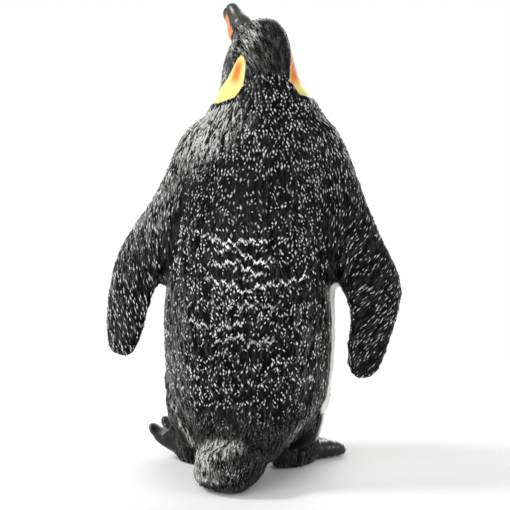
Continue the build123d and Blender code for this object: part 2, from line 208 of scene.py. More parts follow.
@dataclass(frozen=True)
class Figure:
    """Main lines of the figure that the coat follows, in millimetres, about the trunk's own axis."""

    axis: Pair = (0.3766, -1.3442)
    split_y: float = -2.0
    collar_z: float = 75.5
    collar_tilt: float = 36.0
    head_turn: float = 36.0
    skull: Triple = (-2.5, -2.2, 82.6)
    left_armpit: Pair = (16.8, 37.5)
    left_lean: float = 13.9
    right_armpit: Pair = (-17.0, 36.5)
    right_lean: float = 5.2
    tail_crease: Pair = (15.2, 12.8)
    tail_lean: float = 43.0
    bill_root: Triple = (2.0, -7.6, 85.5)
    bill_lift: float = 40.0
    ankle_z: float = 4.4
    skirt_width: float = 0.7

    SKIRTS = (
        ((14.2, 13.6), (12.9, 9.8), (10.7, 5.0)),
        ((-13.4, 15.1), (-10.2, 10.5), (-6.4, 5.2)),
    )
    HEM = (
        (-150, 78.0), (-130, 77.2), (-123, 75.0), (-105, 74.2), (-80, 73.4), (-60, 73.0),
        (60, 71.8), (92, 72.4), (124, 73.2), (148, 74.7), (154, 76.5), (170, 78.0),
    )

    def placed(self, x: float, y: float, z: float) -> Triple:
        """A point about the trunk's axis, moved into the frame, in metres."""
        return ((x + self.axis[0]) * MM, (y + self.axis[1]) * MM, z * MM)

    def own(self, points: Array) -> Array:
        """Frame points in millimetres about the trunk's axis."""
        return points / MM - np.array([self.axis[0], self.axis[1], 0.0])

    def bearing(self, own: Array, centre: Pair) -> Array:
        """Angle of points about a vertical line, in degrees from straight ahead to the bird's left."""
        return np.degrees(np.arctan2(own[:, 0] - centre[0], -(own[:, 1] - centre[1])))

    def skirt(self, own: Array, outward: Array) -> Array:
        """Nearness of points on the rear to the trunk's hems over the legs, from 0 to 1."""
        gap = np.min([line_distance(line, own[:, [0, 2]]) for line in self.SKIRTS], axis=0)
        return bell(gap, 0.0, self.skirt_width) * smooth(-0.1, 0.25, outward[:, 1])

    def below_hem(self, turned: Array, height: Array) -> Array:
        """Distance of points below the collar's hem, by their bearing about the skull."""
        return np.interp(turned, *np.array(self.HEM).T) - height

    def collar(self) -> Seam:
        """Seam between head and trunk."""
        tilt = math.radians(self.collar_tilt)
        return Seam(self.placed(0, 0, self.collar_z), (0.0, -math.sin(tilt), math.cos(tilt)))

    def shoulder(self, side: Side) -> Seam:
        """Seam between a flipper and the trunk.

        Args:
            side: The flipper's side.

        Returns:
            The seam.
        """
        armpit = self.left_armpit if side is Side.LEFT else self.right_armpit
        lean = math.radians(self.left_lean if side is Side.LEFT else self.right_lean)
        normal = (side.value * math.cos(lean), 0.0, math.sin(lean))
        return Seam(self.placed(armpit[0], 0, armpit[1]), normal)

    def tail(self) -> Seam:
        """Seam at the tail's root."""
        lean = math.radians(self.tail_lean)
        return Seam(self.placed(0, *self.tail_crease), (0.0, math.sin(lean), -math.cos(lean)))

    def split(self) -> Seam:
        """Seam between the trunk's back and its belly, with the back beyond it."""
        return Seam(self.placed(0, self.split_y, 0), (0.0, 1.0, 0.0))

    def bill_axes(self) -> tuple[Array, Array, Array]:
        """The bill's own directions.

        Returns:
            Unit vectors along it, to its left and to its upper side.
        """
        turn, lift = math.radians(self.head_turn), math.radians(self.bill_lift)
        ahead = np.array([math.sin(turn) * math.cos(lift), -math.cos(turn) * math.cos(lift), math.sin(lift)])
        left = np.array([math.cos(turn), math.sin(turn), 0.0])
        return ahead, left, np.cross(ahead, left)

    def bill(self) -> Seam:
        """Seam at the bill's root."""
        return Seam(self.placed(*self.bill_root), tuple(self.bill_axes()[0]))


def coordinates(mesh: Mesh) -> Array:
    """A mesh's vertices as an array of points."""
    flat = np.zeros(len(mesh.vertices) * 3)
    mesh.vertices.foreach_get("co", flat)
    return flat.reshape(-1, 3)


def normals(mesh: Mesh) -> Array:
    """A mesh's vertex normals as an array."""
    flat = np.zeros(len(mesh.vertices) * 3)
    mesh.vertex_normals.foreach_get("vector", flat)
    return flat.reshape(-1, 3)


def edge_ends(mesh: Mesh) -> Array:
    """Indices of the vertices at the edges' two ends, as two rows."""
    ends = np.zeros(len(mesh.edges) * 2, np.int64)
    mesh.edges.foreach_get("vertices", ends)
    return ends.reshape(-1, 2).T


def surface(mesh: Mesh) -> BVHTree:
    """Search tree over a mesh's faces."""
    faces = [list(face.vertices) for face in mesh.polygons]
    return BVHTree.FromPolygons([vertex.co for vertex in mesh.vertices], faces)


def move_to(mesh: Mesh, points: Array) -> None:
    """Writes points back to a mesh's vertices."""
    mesh.vertices.foreach_set("co", points.astype(np.float32).ravel())
    mesh.update()


def settle(mesh: Mesh, foot: float = 0.5 * MM) -> None:
    """Presses what would sink into the table flat above it.

    Args:
        mesh: The mesh to change.
        foot: Height below which the mesh is squeezed.
    """
    points = coordinates(mesh)
    height = points[:, 2]
    pressed = foot * np.exp((np.minimum(height, foot) - foot) / foot)
    points[:, 2] = np.where(height < foot, pressed, height)
    move_to(mesh, points)


def write(mesh: Mesh, name: Enum, values: Array) -> None:
    """Stores a value or a vector for each vertex.

    Args:
        mesh: The mesh that carries the attribute.
        name: The attribute.
        values: One number or one row of three for each vertex.
    """
    kind, key = ("FLOAT", "value") if values.ndim == 1 else ("FLOAT_VECTOR", "vector")
    layer = mesh.attributes.get(name.value) or mesh.attributes.new(name.value, kind, "POINT")
    layer.data.foreach_set(key, values.astype(np.float32).ravel())


def new_object(name: str, mesh: Mesh) -> Object:
    """Links a mesh into the scene as an object at the origin."""
    made = bpy.data.objects.new(name, mesh)
    bpy.context.scene.collection.objects.link(made)
    return made


def mesh_from(made: bmesh.types.BMesh, name: str, material: Optional[Material] = None) -> Mesh:
    """Plain mesh of an edited one.

    Args:
        made: The edited mesh, which is used up.
        name: The new mesh's name.
        material: Its material, if it has one yet.

    Returns:
        The new mesh.
    """
    mesh = bpy.data.meshes.new(name)
    made.to_mesh(mesh)
    made.free()
    mesh.materials.clear()
    if material:
        mesh.materials.append(material)
    return mesh


def evaluated_mesh(source: Object) -> Mesh:
    """Plain mesh of an object with its modifiers applied; the object itself is removed."""
    graph = bpy.context.evaluated_depsgraph_get()
    mesh = bpy.data.meshes.new_from_object(source.evaluated_get(graph))
    bpy.data.objects.remove(source)
    return mesh


def merged_copy(names: Iterable[str]) -> Mesh:
    """One mesh of merged copies of CAD nodes.

    Args:
        names: The nodes to copy.

    Returns:
        A new mesh that shares nothing with the nodes.
    """
    gathered = bmesh.new()
    for name in names:
        gathered.from_mesh(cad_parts[name].data)
    bmesh.ops.remove_doubles(gathered, verts=gathered.verts, dist=1e-7)
    return mesh_from(gathered, "merged_copy")


def join_into(target: Object, extras: Iterable[Mesh]) -> Object:
    """Joins meshes into an object.

    Args:
        target: The object that stays.
        extras: Meshes to add to it.

    Returns:
        The object.
    """
    added = [new_object("joined", extra) for extra in extras if len(extra.vertices)]
    if added:
        chosen = [target, *added]
        with bpy.context.temp_override(
            active_object=target, selected_editable_objects=chosen, selected_objects=chosen
        ):
            bpy.ops.object.join()
    return target


def largest_island(mesh: Mesh) -> Mesh:
    """Deletes every island of a mesh but the one with the most vertices, such as a hollow's inner skin.

    Args:
        mesh: The mesh to change.

    Returns:
        The same mesh.
    """
    first, second = edge_ends(mesh)
    labels = np.arange(len(mesh.vertices))
    while True:
        lowest = np.minimum(labels[first], labels[second])
        spread = labels.copy()
        for spots in (first, second, labels[first], labels[second]):
            np.minimum.at(spread, spots, lowest)
        spread = spread[spread]
        if np.array_equal(spread, labels):
            break
        labels = spread
    main = np.bincount(labels).argmax()
    working = bmesh.new()
    working.from_mesh(mesh)
    working.verts.ensure_lookup_table()
    stray = [working.verts[int(index)] for index in np.flatnonzero(labels != main)]
    bmesh.ops.delete(working, geom=stray, context="VERTS")
    working.to_mesh(mesh)
    working.free()
    return mesh


def remeshed(
    names: Iterable[str], pitch: float, softening: int, levels: int, fillers: Iterable[Mesh] = ()
) -> Mesh:
    """Even skin over the union of CAD nodes.

    Args:
        names: The nodes under the skin.
        pitch: Side of a cell before subdivision, in metres.
        softening: Rounds of smoothing that soften the joints between nodes.
        levels: Levels of subdivision.
        fillers: Closed meshes that are filled in with the nodes.

    Returns:
        The closed outer skin.
    """
    working = join_into(new_object("skin_working", merged_copy(names)), fillers)
    remesh = working.modifiers.new("remesh", "REMESH")
    remesh.mode = "VOXEL"
    remesh.voxel_size = pitch
    soften = working.modifiers.new("soften", "SMOOTH")
    soften.factor = 0.5
    soften.iterations = softening
    divide = working.modifiers.new("divide", "SUBSURF")
    divide.levels = levels
    divide.render_levels = levels
    return largest_island(evaluated_mesh(working))


def relax(mesh: Mesh, weights: Array, rounds: int, least: float = 0.001) -> None:
    """Smooths part of a mesh.

    Args:
        mesh: The mesh.
        weights: Share of smoothing for each vertex, from 0 to 1.
        rounds: Rounds of smoothing.
        least: Share below which a vertex stays.
    """
    first, second = edge_ends(mesh)
    points = coordinates(mesh)
    near = (weights[first] > least) | (weights[second] > least)
    first, second = first[near], second[near]
    size = len(points)
    count = np.maximum(np.bincount(first, minlength=size) + np.bincount(second, minlength=size), 1)
    share = np.where(weights > least, weights, 0.0) * 0.5
    for _ in range(rounds):
        for axis in range(3):
            line = points[:, axis]
            total = np.bincount(first, line[second], size) + np.bincount(second, line[first], size)
            points[:, axis] = line + share * (total / count - line)
    move_to(mesh, points)


class Graph:
    """Short way to add nodes and links to a node tree."""

    def __init__(self, tree: bpy.types.NodeTree) -> None:
        """Wraps a tree."""
        self.tree = tree

    def add(self, kind: str, inputs: Optional[dict] = None, **settings: object) -> bpy.types.Node:
        """Adds a node.

        Args:
            kind: The node's type name.
            inputs: Sockets or plain values for its inputs, by name or number.
            settings: Properties of the node.

        Returns:
            The new node.
        """
        node = self.tree.nodes.new(kind)
        for name, value in settings.items():
            setattr(node, name, value)
        for name, value in (inputs or {}).items():
            self.feed(node.inputs[name], value)
        return node

    def feed(self, socket: Socket, value: object) -> None:
        """Links a socket into an input, or sets the input to a plain value."""
        if isinstance(value, Socket):
            self.tree.links.new(value, socket)
        else:
            socket.default_value = value

    def math(self, operation: str, first: object, second: object = 0.0) -> Socket:
        """Result of a Math node."""
        return self.add("ShaderNodeMath", {0: first, 1: second}, operation=operation).outputs[0]

    def vector(self, operation: str, first: object, second: object = (0, 0, 0)) -> Socket:
        """Result of a Vector Math node."""
        return self.add("ShaderNodeVectorMath", {0: first, 1: second}, operation=operation).outputs[0]

    def scaled(self, vector: object, factor: object) -> Socket:
        """A vector times a factor."""
        return self.add("ShaderNodeVectorMath", {0: vector, "Scale": factor}, operation="SCALE").outputs[0]

    def ramp(self, value: object, low: float, high: float) -> Socket:
        """Smooth step of a value between two limits."""
        limits = {"Value": value, "From Min": low, "From Max": high}
        return self.add("ShaderNodeMapRange", limits, interpolation_type="SMOOTHSTEP").outputs["Result"]

    def mixed(self, factor: object, first: object, second: object) -> Socket:
        """Two colours mixed by a factor."""
        node = self.add("ShaderNodeMix", data_type="RGBA")
        for socket, value in (("Factor", factor), (6, first), (7, second)):
            self.feed(node.inputs[socket], value)
        return node.outputs[2]

    def value(self, name: Enum) -> Socket:
        """Value of a stored attribute in a shader."""
        return self.add("ShaderNodeAttribute", attribute_name=name.value).outputs["Fac"]

    def attribute(self, name: Coat, kind: str = "FLOAT") -> Socket:
        """Output of a Named Attribute node in a geometry tree."""
        node = self.add("GeometryNodeInputNamedAttribute", {"Name": name.value}, data_type=kind)
        return next(socket for socket in node.outputs if socket.enabled and socket.name == "Attribute")

    def random(self, order: int, low: object, high: object, seed: object) -> Socket:
        """Random value between two limits, with a stream of its own under a common seed."""
        limits = {2: low, 3: high, "Seed": self.math("ADD", seed, order)}
        return self.add("FunctionNodeRandomValue", limits, data_type="FLOAT").outputs[1]

    def stored(self, geometry: object, name: Coat, domain: str, value: object) -> Socket:
        """Stores a value on a geometry.

        Args:
            geometry: The geometry.
            name: The attribute.
            domain: What carries it, such as points or instances.
            value: The value.

        Returns:
            The geometry with the attribute.
        """
        inputs = {"Geometry": geometry, "Name": name.value}
        node = self.add("GeometryNodeStoreNamedAttribute", inputs, data_type="FLOAT", domain=domain)
        self.feed(next(s for s in node.inputs if s.name == "Value" and s.enabled), value)
        return node.outputs[0]

    def drawn_out(
        self, place: Socket, flow: Socket, length: object, samples: int, noise: dict, **settings: object
    ) -> Socket:
        """Noise averaged along a flow, so that its grains become strokes.

        Args:
            place: Where the noise is taken.
            flow: Direction of the strokes.
            length: Their length, in metres.
            samples: Number of samples along it.
            noise: Inputs of the noise.
            settings: Properties of the noise.

        Returns:
            The mean.
        """
        total = 0.0
        for step in range(samples):
            reach = self.math("MULTIPLY", length, step / (samples - 1) - 0.5)
            along = self.vector("ADD", place, self.scaled(flow, reach))
            node = self.add("ShaderNodeTexNoise", {"Vector": along, **noise}, **settings)
            total = self.math("ADD", total, node.outputs[0])
        return self.math("DIVIDE", total, float(samples))

    def close(self, geometry: Socket, material: Socket) -> None:
        """Ends a geometry tree with plain geometry in its material."""
        whole = self.add("GeometryNodeRealizeInstances", {"Geometry": geometry}).outputs[0]
        dressed = self.add("GeometryNodeSetMaterial", {"Geometry": whole, "Material": material})
        self.add("NodeGroupOutput", {"Geometry": dressed.outputs[0]})


def new_tree(name: str, kind: str, inputs: dict[str, str], outputs: dict[str, str]) -> Graph:
    """Node tree with named inputs and outputs.

    Args:
        name: The tree's name.
        kind: The tree's type name.
        inputs: Socket type by input name.
        outputs: Socket type by output name.

    Returns:
        The tree, wrapped.
    """
    tree = bpy.data.node_groups.new(name, kind)
    for label, socket in inputs.items():
        tree.interface.new_socket(label, in_out="INPUT", socket_type=socket)
    for label, socket in outputs.items():
        tree.interface.new_socket(label, in_out="OUTPUT", socket_type=socket)
    return Graph(tree)


def geometry_tree(name: str, sizes: Iterable[str], seed: str) -> tuple[Graph, bpy.types.NodeOutputs]:
    """Geometry tree with sizes, a seed and a material as inputs.

    Args:
        name: The tree's name.
        sizes: Names of the inputs that are plain numbers.
        seed: Socket type of the seed.

    Returns:
        The tree, and the sockets that its inputs come in by.
    """
    geometry = {"Geometry": "NodeSocketGeometry"}
    numbers = dict.fromkeys(sizes, "NodeSocketFloat")
    inputs = {**geometry, **numbers, "Seed": seed, "Material": "NodeSocketMaterial"}
    graph = new_tree(name, "GeometryNodeTree", inputs, geometry)
    return graph, graph.add("NodeGroupInput").outputs


def apply_tree(mesh: Mesh, graph: Graph, settings: dict[str, object]) -> Mesh:
    """Runs a geometry tree on a mesh.

    Args:
        mesh: The mesh that goes in.
        graph: The tree.
        settings: Values for the tree's inputs, by name.

    Returns:
        The result as a plain mesh.
    """
    working = new_object("tree_working", mesh)
    modifier = working.modifiers.new("tree", "NODES")
    modifier.node_group = graph.tree
    for item in graph.tree.interface.items_tree:
        if item.in_out == "INPUT" and item.name in settings:
            modifier[item.identifier] = settings[item.name]
    return evaluated_mesh(working)


@dataclass(frozen=True)
class StrokeSize:
    """Sizes of the feather strokes that are raised on a skin, in millimetres."""

    length: float
    width: float
    height: float

    SAMPLES = 7
    SPREAD = {"From Min": 0.4, "From Max": 0.6, "To Min": -1.0, "To Max": 1.0}

    def tree(self) -> Graph:
        """Geometry tree that raises strokes along the coat's flow and stores their height.

        Returns:
            The tree.
        """
        sizes = ("Stroke Length", "Stroke Width", "Height")
        graph, entry = geometry_tree("feather_relief", sizes, "NodeSocketFloat")
        place = graph.add("GeometryNodeInputPosition").outputs[0]
        flow = graph.attribute(Coat.FLOW, "FLOAT_VECTOR")
        scale = graph.math("DIVIDE", 1.0, entry["Stroke Width"])
        noise = {"W": entry["Seed"], "Scale": scale, "Detail": 0.0}
        mean = graph.drawn_out(
            place, flow, entry["Stroke Length"], self.SAMPLES, noise, noise_dimensions="4D"
        )
        level = graph.add("ShaderNodeMapRange", {"Value": mean, **self.SPREAD}).outputs["Result"]
        store = graph.stored(entry["Geometry"], Coat.RELIEF, "POINT", level)
        gain = graph.math("MULTIPLY", level, graph.attribute(Coat.GAIN))
        rise = graph.math("MULTIPLY", gain, entry["Height"])
        outward = graph.scaled(graph.add("GeometryNodeInputNormal").outputs[0], rise)
        raised = graph.add("GeometryNodeSetPosition", {"Geometry": store, "Offset": outward})
        graph.close(raised.outputs[0], entry["Material"])
        return graph

    def raised(self, mesh: Mesh, material: Material, seed: float) -> Mesh:
        """A skin with its strokes raised.

        Args:
            mesh: The painted skin.
            material: The painted coat.
            seed: Seed of the strokes.

        Returns:
            The new skin.
        """
        settings = {
            "Stroke Length": self.length * MM,
            "Stroke Width": self.width * MM,
            "Height": self.height * MM,
            "Seed": seed,
            "Material": material,
        }
        return apply_tree(mesh, self.tree(), settings)


@dataclass(frozen=True)
class TipSize:
    """Sizes of one kind of feather tip, in millimetres, and how far it may sway, in radians."""

    spacing: float
    length: float
    width: float
    height: float
    sway: float
    density: float = 9.0e6

    def settings(self, material: Material, seed: int) -> dict[str, object]:
        """Inputs of a tree that sets such tips.

        Args:
            material: The painted coat.
            seed: Seed of the tips.

        Returns:
            Values by input name.
        """
        return {
            "Spacing": self.spacing * MM,
            "Density": self.density,
            "Length": self.length * MM,
            "Width": self.width * MM,
            "Height": self.height * MM,
            "Sway": self.sway,
            "Seed": seed,
            "Material": material,
        }


def tip_tree(name: str, density: Optional[Coat]) -> Graph:
    """Geometry tree that sets raised feather tips on the coat, each lying along the flow.

    Args:
        name: The tree's name.
        density: Attribute that leads the scatter on faces, or None if tips stand on the vertices
            that go in.

    Returns:
        The tree.
    """
    sizes = ("Spacing", "Density", "Length", "Width", "Height", "Sway")
    graph, entry = geometry_tree(name, sizes, "NodeSocketInt")
    seed = entry["Seed"]
    if density is None:
        spots = graph.add("GeometryNodeMeshToPoints", {"Mesh": entry["Geometry"]}).outputs[0]
        outward = graph.attribute(Coat.OUTWARD, "FLOAT_VECTOR")
    else:
        bare = graph.attribute(Coat.SEAM, "INT")
        skin = graph.add("FunctionNodeBooleanMath", {0: bare}, operation="NOT").outputs[0]
        inputs = {
            "Mesh": entry["Geometry"],
            "Selection": skin,
            "Distance Min": entry["Spacing"],
            "Density Max": entry["Density"],
            "Density Factor": graph.attribute(density),
            "Seed": seed,
        }
        scatter = graph.add("GeometryNodeDistributePointsOnFaces", inputs, distribute_method="POISSON")
        spots, outward = scatter.outputs["Points"], scatter.outputs["Normal"]
    turn = graph.add(
        "FunctionNodeAxesToRotation",
        {"Primary Axis": outward, "Secondary Axis": graph.attribute(Coat.FLOW, "FLOAT_VECTOR")},
        primary_axis="Z",
        secondary_axis="X",
    )
    most = graph.math("MULTIPLY", entry["Sway"], graph.attribute(Coat.SWAY))
    sway = graph.random(1, graph.math("MULTIPLY", most, -1.0), most, seed)
    yaw = graph.add("ShaderNodeCombineXYZ", {"Z": sway}).outputs[0]
    spun = graph.add(
        "FunctionNodeRotateRotation",
        {
            "Rotation": turn.outputs[0],
            "Rotate By": graph.add("FunctionNodeEulerToRotation", {0: yaw}).outputs[0],
        },
        rotation_space="LOCAL",
    )
    ranges = {"X": (0.35, 1.25), "Y": (0.6, 1.45), "Z": (0.7, 1.15)}
    sizes = {
        axis: graph.random(order, *limits, seed) for order, (axis, limits) in enumerate(ranges.items(), 2)
    }
    stand = graph.add(
        "GeometryNodeInstanceOnPoints",
        {
            "Points": spots,
            "Instance": tuft_geometry(graph, entry),
            "Rotation": spun.outputs[0],
            "Scale": graph.add("ShaderNodeCombineXYZ", sizes).outputs[0],
        },
    )
    share = graph.ramp(graph.random(5, 0.0, 1.0, seed), -0.1, 0.75)
    paint = graph.math("MULTIPLY", share, graph.attribute(Coat.BRUSH))
    graph.close(graph.stored(stand.outputs[0], Coat.TIP_PAINT, "INSTANCE", paint), entry["Material"])
    return graph


def tuft_geometry(graph: Graph, entry: bpy.types.NodeOutputs) -> Socket:
    """One feather tip: a three-sided spindle with a crest on top.

    Args:
        graph: The tree that the tip is made in.
        entry: The tree's inputs, with Length, Width and Height.

    Returns:
        The tip's geometry, lying along X with Z up.
    """
    ball = graph.add("GeometryNodeMeshUVSphere", {"Segments": 3, "Rings": 2, "Radius": 1.0})
    place = graph.add("GeometryNodeInputPosition").outputs[0]
    rise, across, along = graph.add("ShaderNodeSeparateXYZ", {0: place}).outputs
    girth = graph.math("MULTIPLY_ADD", along, 0.3)
    girth.node.inputs[2].default_value = 0.85
    half_length = graph.math("MULTIPLY", entry["Length"], 0.5)
    half_width = graph.math("MULTIPLY", entry["Width"], 0.58)
    shape = {
        "X": graph.math("MULTIPLY", along, half_length),
        "Y": graph.math("MULTIPLY", graph.math("MULTIPLY", across, girth), half_width),
        "Z": graph.math("MULTIPLY", graph.math("MULTIPLY", rise, girth), entry["Height"]),
    }
    shaped = graph.add("ShaderNodeCombineXYZ", shape).outputs[0]
    crest = graph.stored(ball.outputs[0], Coat.CREST, "POINT", graph.ramp(rise, -0.5, 0.4))
    moved = graph.add("GeometryNodeSetPosition", {"Geometry": crest, "Position": shaped})
    return graph.add("GeometryNodeSetShadeSmooth", {"Geometry": moved.outputs[0]}).outputs[0]


def grain_group() -> bpy.types.NodeTree:
    """Shader group with the fine uneven grain of brushed paint.

    Returns:
        The group, with values from 0 to 1.
    """
    name = "paint_grain"
    if name not in bpy.data.node_groups:
        graph = new_tree(name, "ShaderNodeTree", {}, {"Grain": "NodeSocketFloat"})
        place = graph.add("ShaderNodeTexCoord").outputs["Object"]
        noise = graph.add("ShaderNodeTexNoise", {"Vector": place, "Scale": 1400.0, "Detail": 3.0})
        graph.add("NodeGroupOutput", {"Grain": graph.ramp(noise.outputs[0], 0.3, 0.7)})
    return bpy.data.node_groups[name]


def stroke_group() -> bpy.types.NodeTree:
    """Shader group with the coat's finest strokes, drawn out along its flow.

    Returns:
        The group, with values from 0 to 1.
    """
    name = "fine_strokes"
    if name not in bpy.data.node_groups:
        graph = new_tree(name, "ShaderNodeTree", {}, {"Strokes": "NodeSocketFloat"})
        place = graph.add("ShaderNodeTexCoord").outputs["Object"]
        flow = graph.add("ShaderNodeAttribute", attribute_name=Coat.FLOW.value).outputs["Vector"]
        mean = graph.drawn_out(place, flow, 0.75 * MM, 6, {"Scale": 3000.0, "Detail": 1.0})
        graph.add("NodeGroupOutput", {"Strokes": graph.ramp(mean, 0.42, 0.64)})
    return bpy.data.node_groups[name]


@dataclass(frozen=True)
class Finish:
    """Plastic of one colour with areas of other paints laid over it, each led by an attribute."""

    name: str
    base: Triple
    patches: tuple[tuple[Enum, Triple], ...] = ()
    roughness: Pair = (0.3, 0.4)
    specular: float = 0.3
    gloss: Optional[Enum] = None

    def under(self, graph: Graph) -> object:
        """Colour under the patches."""
        return (*self.base, 1.0)

    def material(self) -> Material:
        """Material with the paints laid over each other in order.

        Returns:
            The material, made once.
        """
        made = bpy.data.materials.get(self.name)
        if made:
            return made
        made = bpy.data.materials.new(self.name)
        made.use_nodes = True
        graph = Graph(made.node_tree)
        shader = made.node_tree.nodes["Principled BSDF"]
        coat = self.under(graph)
        for mask, colour in self.patches:
            coat = graph.mixed(graph.value(mask), coat, (*colour, 1.0))
        graph.feed(shader.inputs["Base Color"], coat)
        grain = graph.add("ShaderNodeGroup", node_tree=grain_group()).outputs["Grain"]
        low, high = self.roughness
        rough = graph.add("ShaderNodeMapRange", {"Value": grain, "To Min": low, "To Max": high})
        graph.feed(shader.inputs["Roughness"], rough.outputs["Result"])
        shine = self.specular
        if self.gloss:
            shine = graph.math("MULTIPLY", graph.value(self.gloss), self.specular)
        graph.feed(shader.inputs["Specular IOR Level"], shine)
        return made


@dataclass(frozen=True)
class CoatFinish(Finish):
    """Painted coat, with white brushed over the crests of its feather tips, and pale paint over its relief
    that is partly painted sheen.
    """

    brushed: Triple = (0.86, 0.87, 0.90)
    # Pale colour of the paint on the relief and of the painted sheen.
    rubbed: Triple = (0.45, 0.45, 0.42)

    def under(self, graph: Graph) -> object:
        """Black of the coat, made paler on its relief by pale paint that is partly painted sheen, and the
        white on its crests.

        Args:
            graph: The material's nodes.

        Returns:
            The colour.
        """
        strokes = graph.add("ShaderNodeGroup", node_tree=stroke_group()).outputs["Strokes"]
        level = graph.math("MULTIPLY", strokes, graph.ramp(graph.value(Coat.RELIEF), -1.0, 0.7))
        # Pale paint along the fine strokes of the relief, partly painted sheen where the coat faces the key
        # light.
        rub = graph.math("MULTIPLY", level, graph.value(Coat.RUB))
        ground = graph.mixed(rub, (*self.base, 1.0), (*self.rubbed, 1.0))
        tip = graph.math("MULTIPLY", graph.value(Coat.CREST), graph.value(Coat.TIP_PAINT))
        return graph.mixed(tip, ground, (*self.brushed, 1.0))


PLUMAGE = CoatFinish(
    "plumage",
    (0.0015, 0.0015, 0.0018),
    (
        (Coat.WHITE, (0.78, 0.77, 0.73)),
        (Coat.YELLOW, (0.80, 0.68, 0.10)),
        (Coat.ORANGE, (0.68, 0.13, 0.02)),
    ),
    (0.2, 0.28),
    0.04,
)


def cut(whole: bmesh.types.BMesh, seam: Seam) -> tuple[bmesh.types.BMesh, bmesh.types.BMesh]:
    """Cuts a skin at a seam and closes both pieces there.

    Args:
        whole: The skin, which is used up.
        seam: The plane.

    Returns:
        The piece beyond the seam, and the rest.
    """
    outer = whole.copy()
    for piece, clear_inner in ((outer, True), (whole, False)):
        bmesh.ops.bisect_plane(
            piece,
            geom=piece.verts[:] + piece.edges[:] + piece.faces[:],
            dist=1e-8,
            plane_co=seam.point,
            plane_no=seam.normal,
            clear_inner=clear_inner,
            clear_outer=not clear_inner,
        )
        rim = [edge for edge in piece.edges if edge.is_boundary]
        for edge in rim:
            edge.smooth = False
        filled = bmesh.ops.holes_fill(piece, edges=rim, sides=0)["faces"]
        flats = bmesh.ops.triangulate(piece, faces=filled)["faces"]
        layer = piece.faces.layers.int[Coat.SEAM.value]
        for face in flats:
            face.smooth = False
            face[layer] = 1
    return outer, whole


def skin_to_cut(mesh: Mesh) -> bmesh.types.BMesh:
    """A skin made ready for cutting, with the layer that marks its seam faces.

    Args:
        mesh: The skin, which stays as it is.

    Returns:
        An edited copy.
    """
    working = bmesh.new()
    working.from_mesh(mesh)
    working.faces.layers.int.new(Coat.SEAM.value)
    for face in working.faces:
        face.smooth = True
    return working


def eye_middle(side: Side) -> Vector:
    """Middle of an eye's bead, in metres."""
    low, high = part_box(f"{side.label}_eye")
    return (low + high) / 2


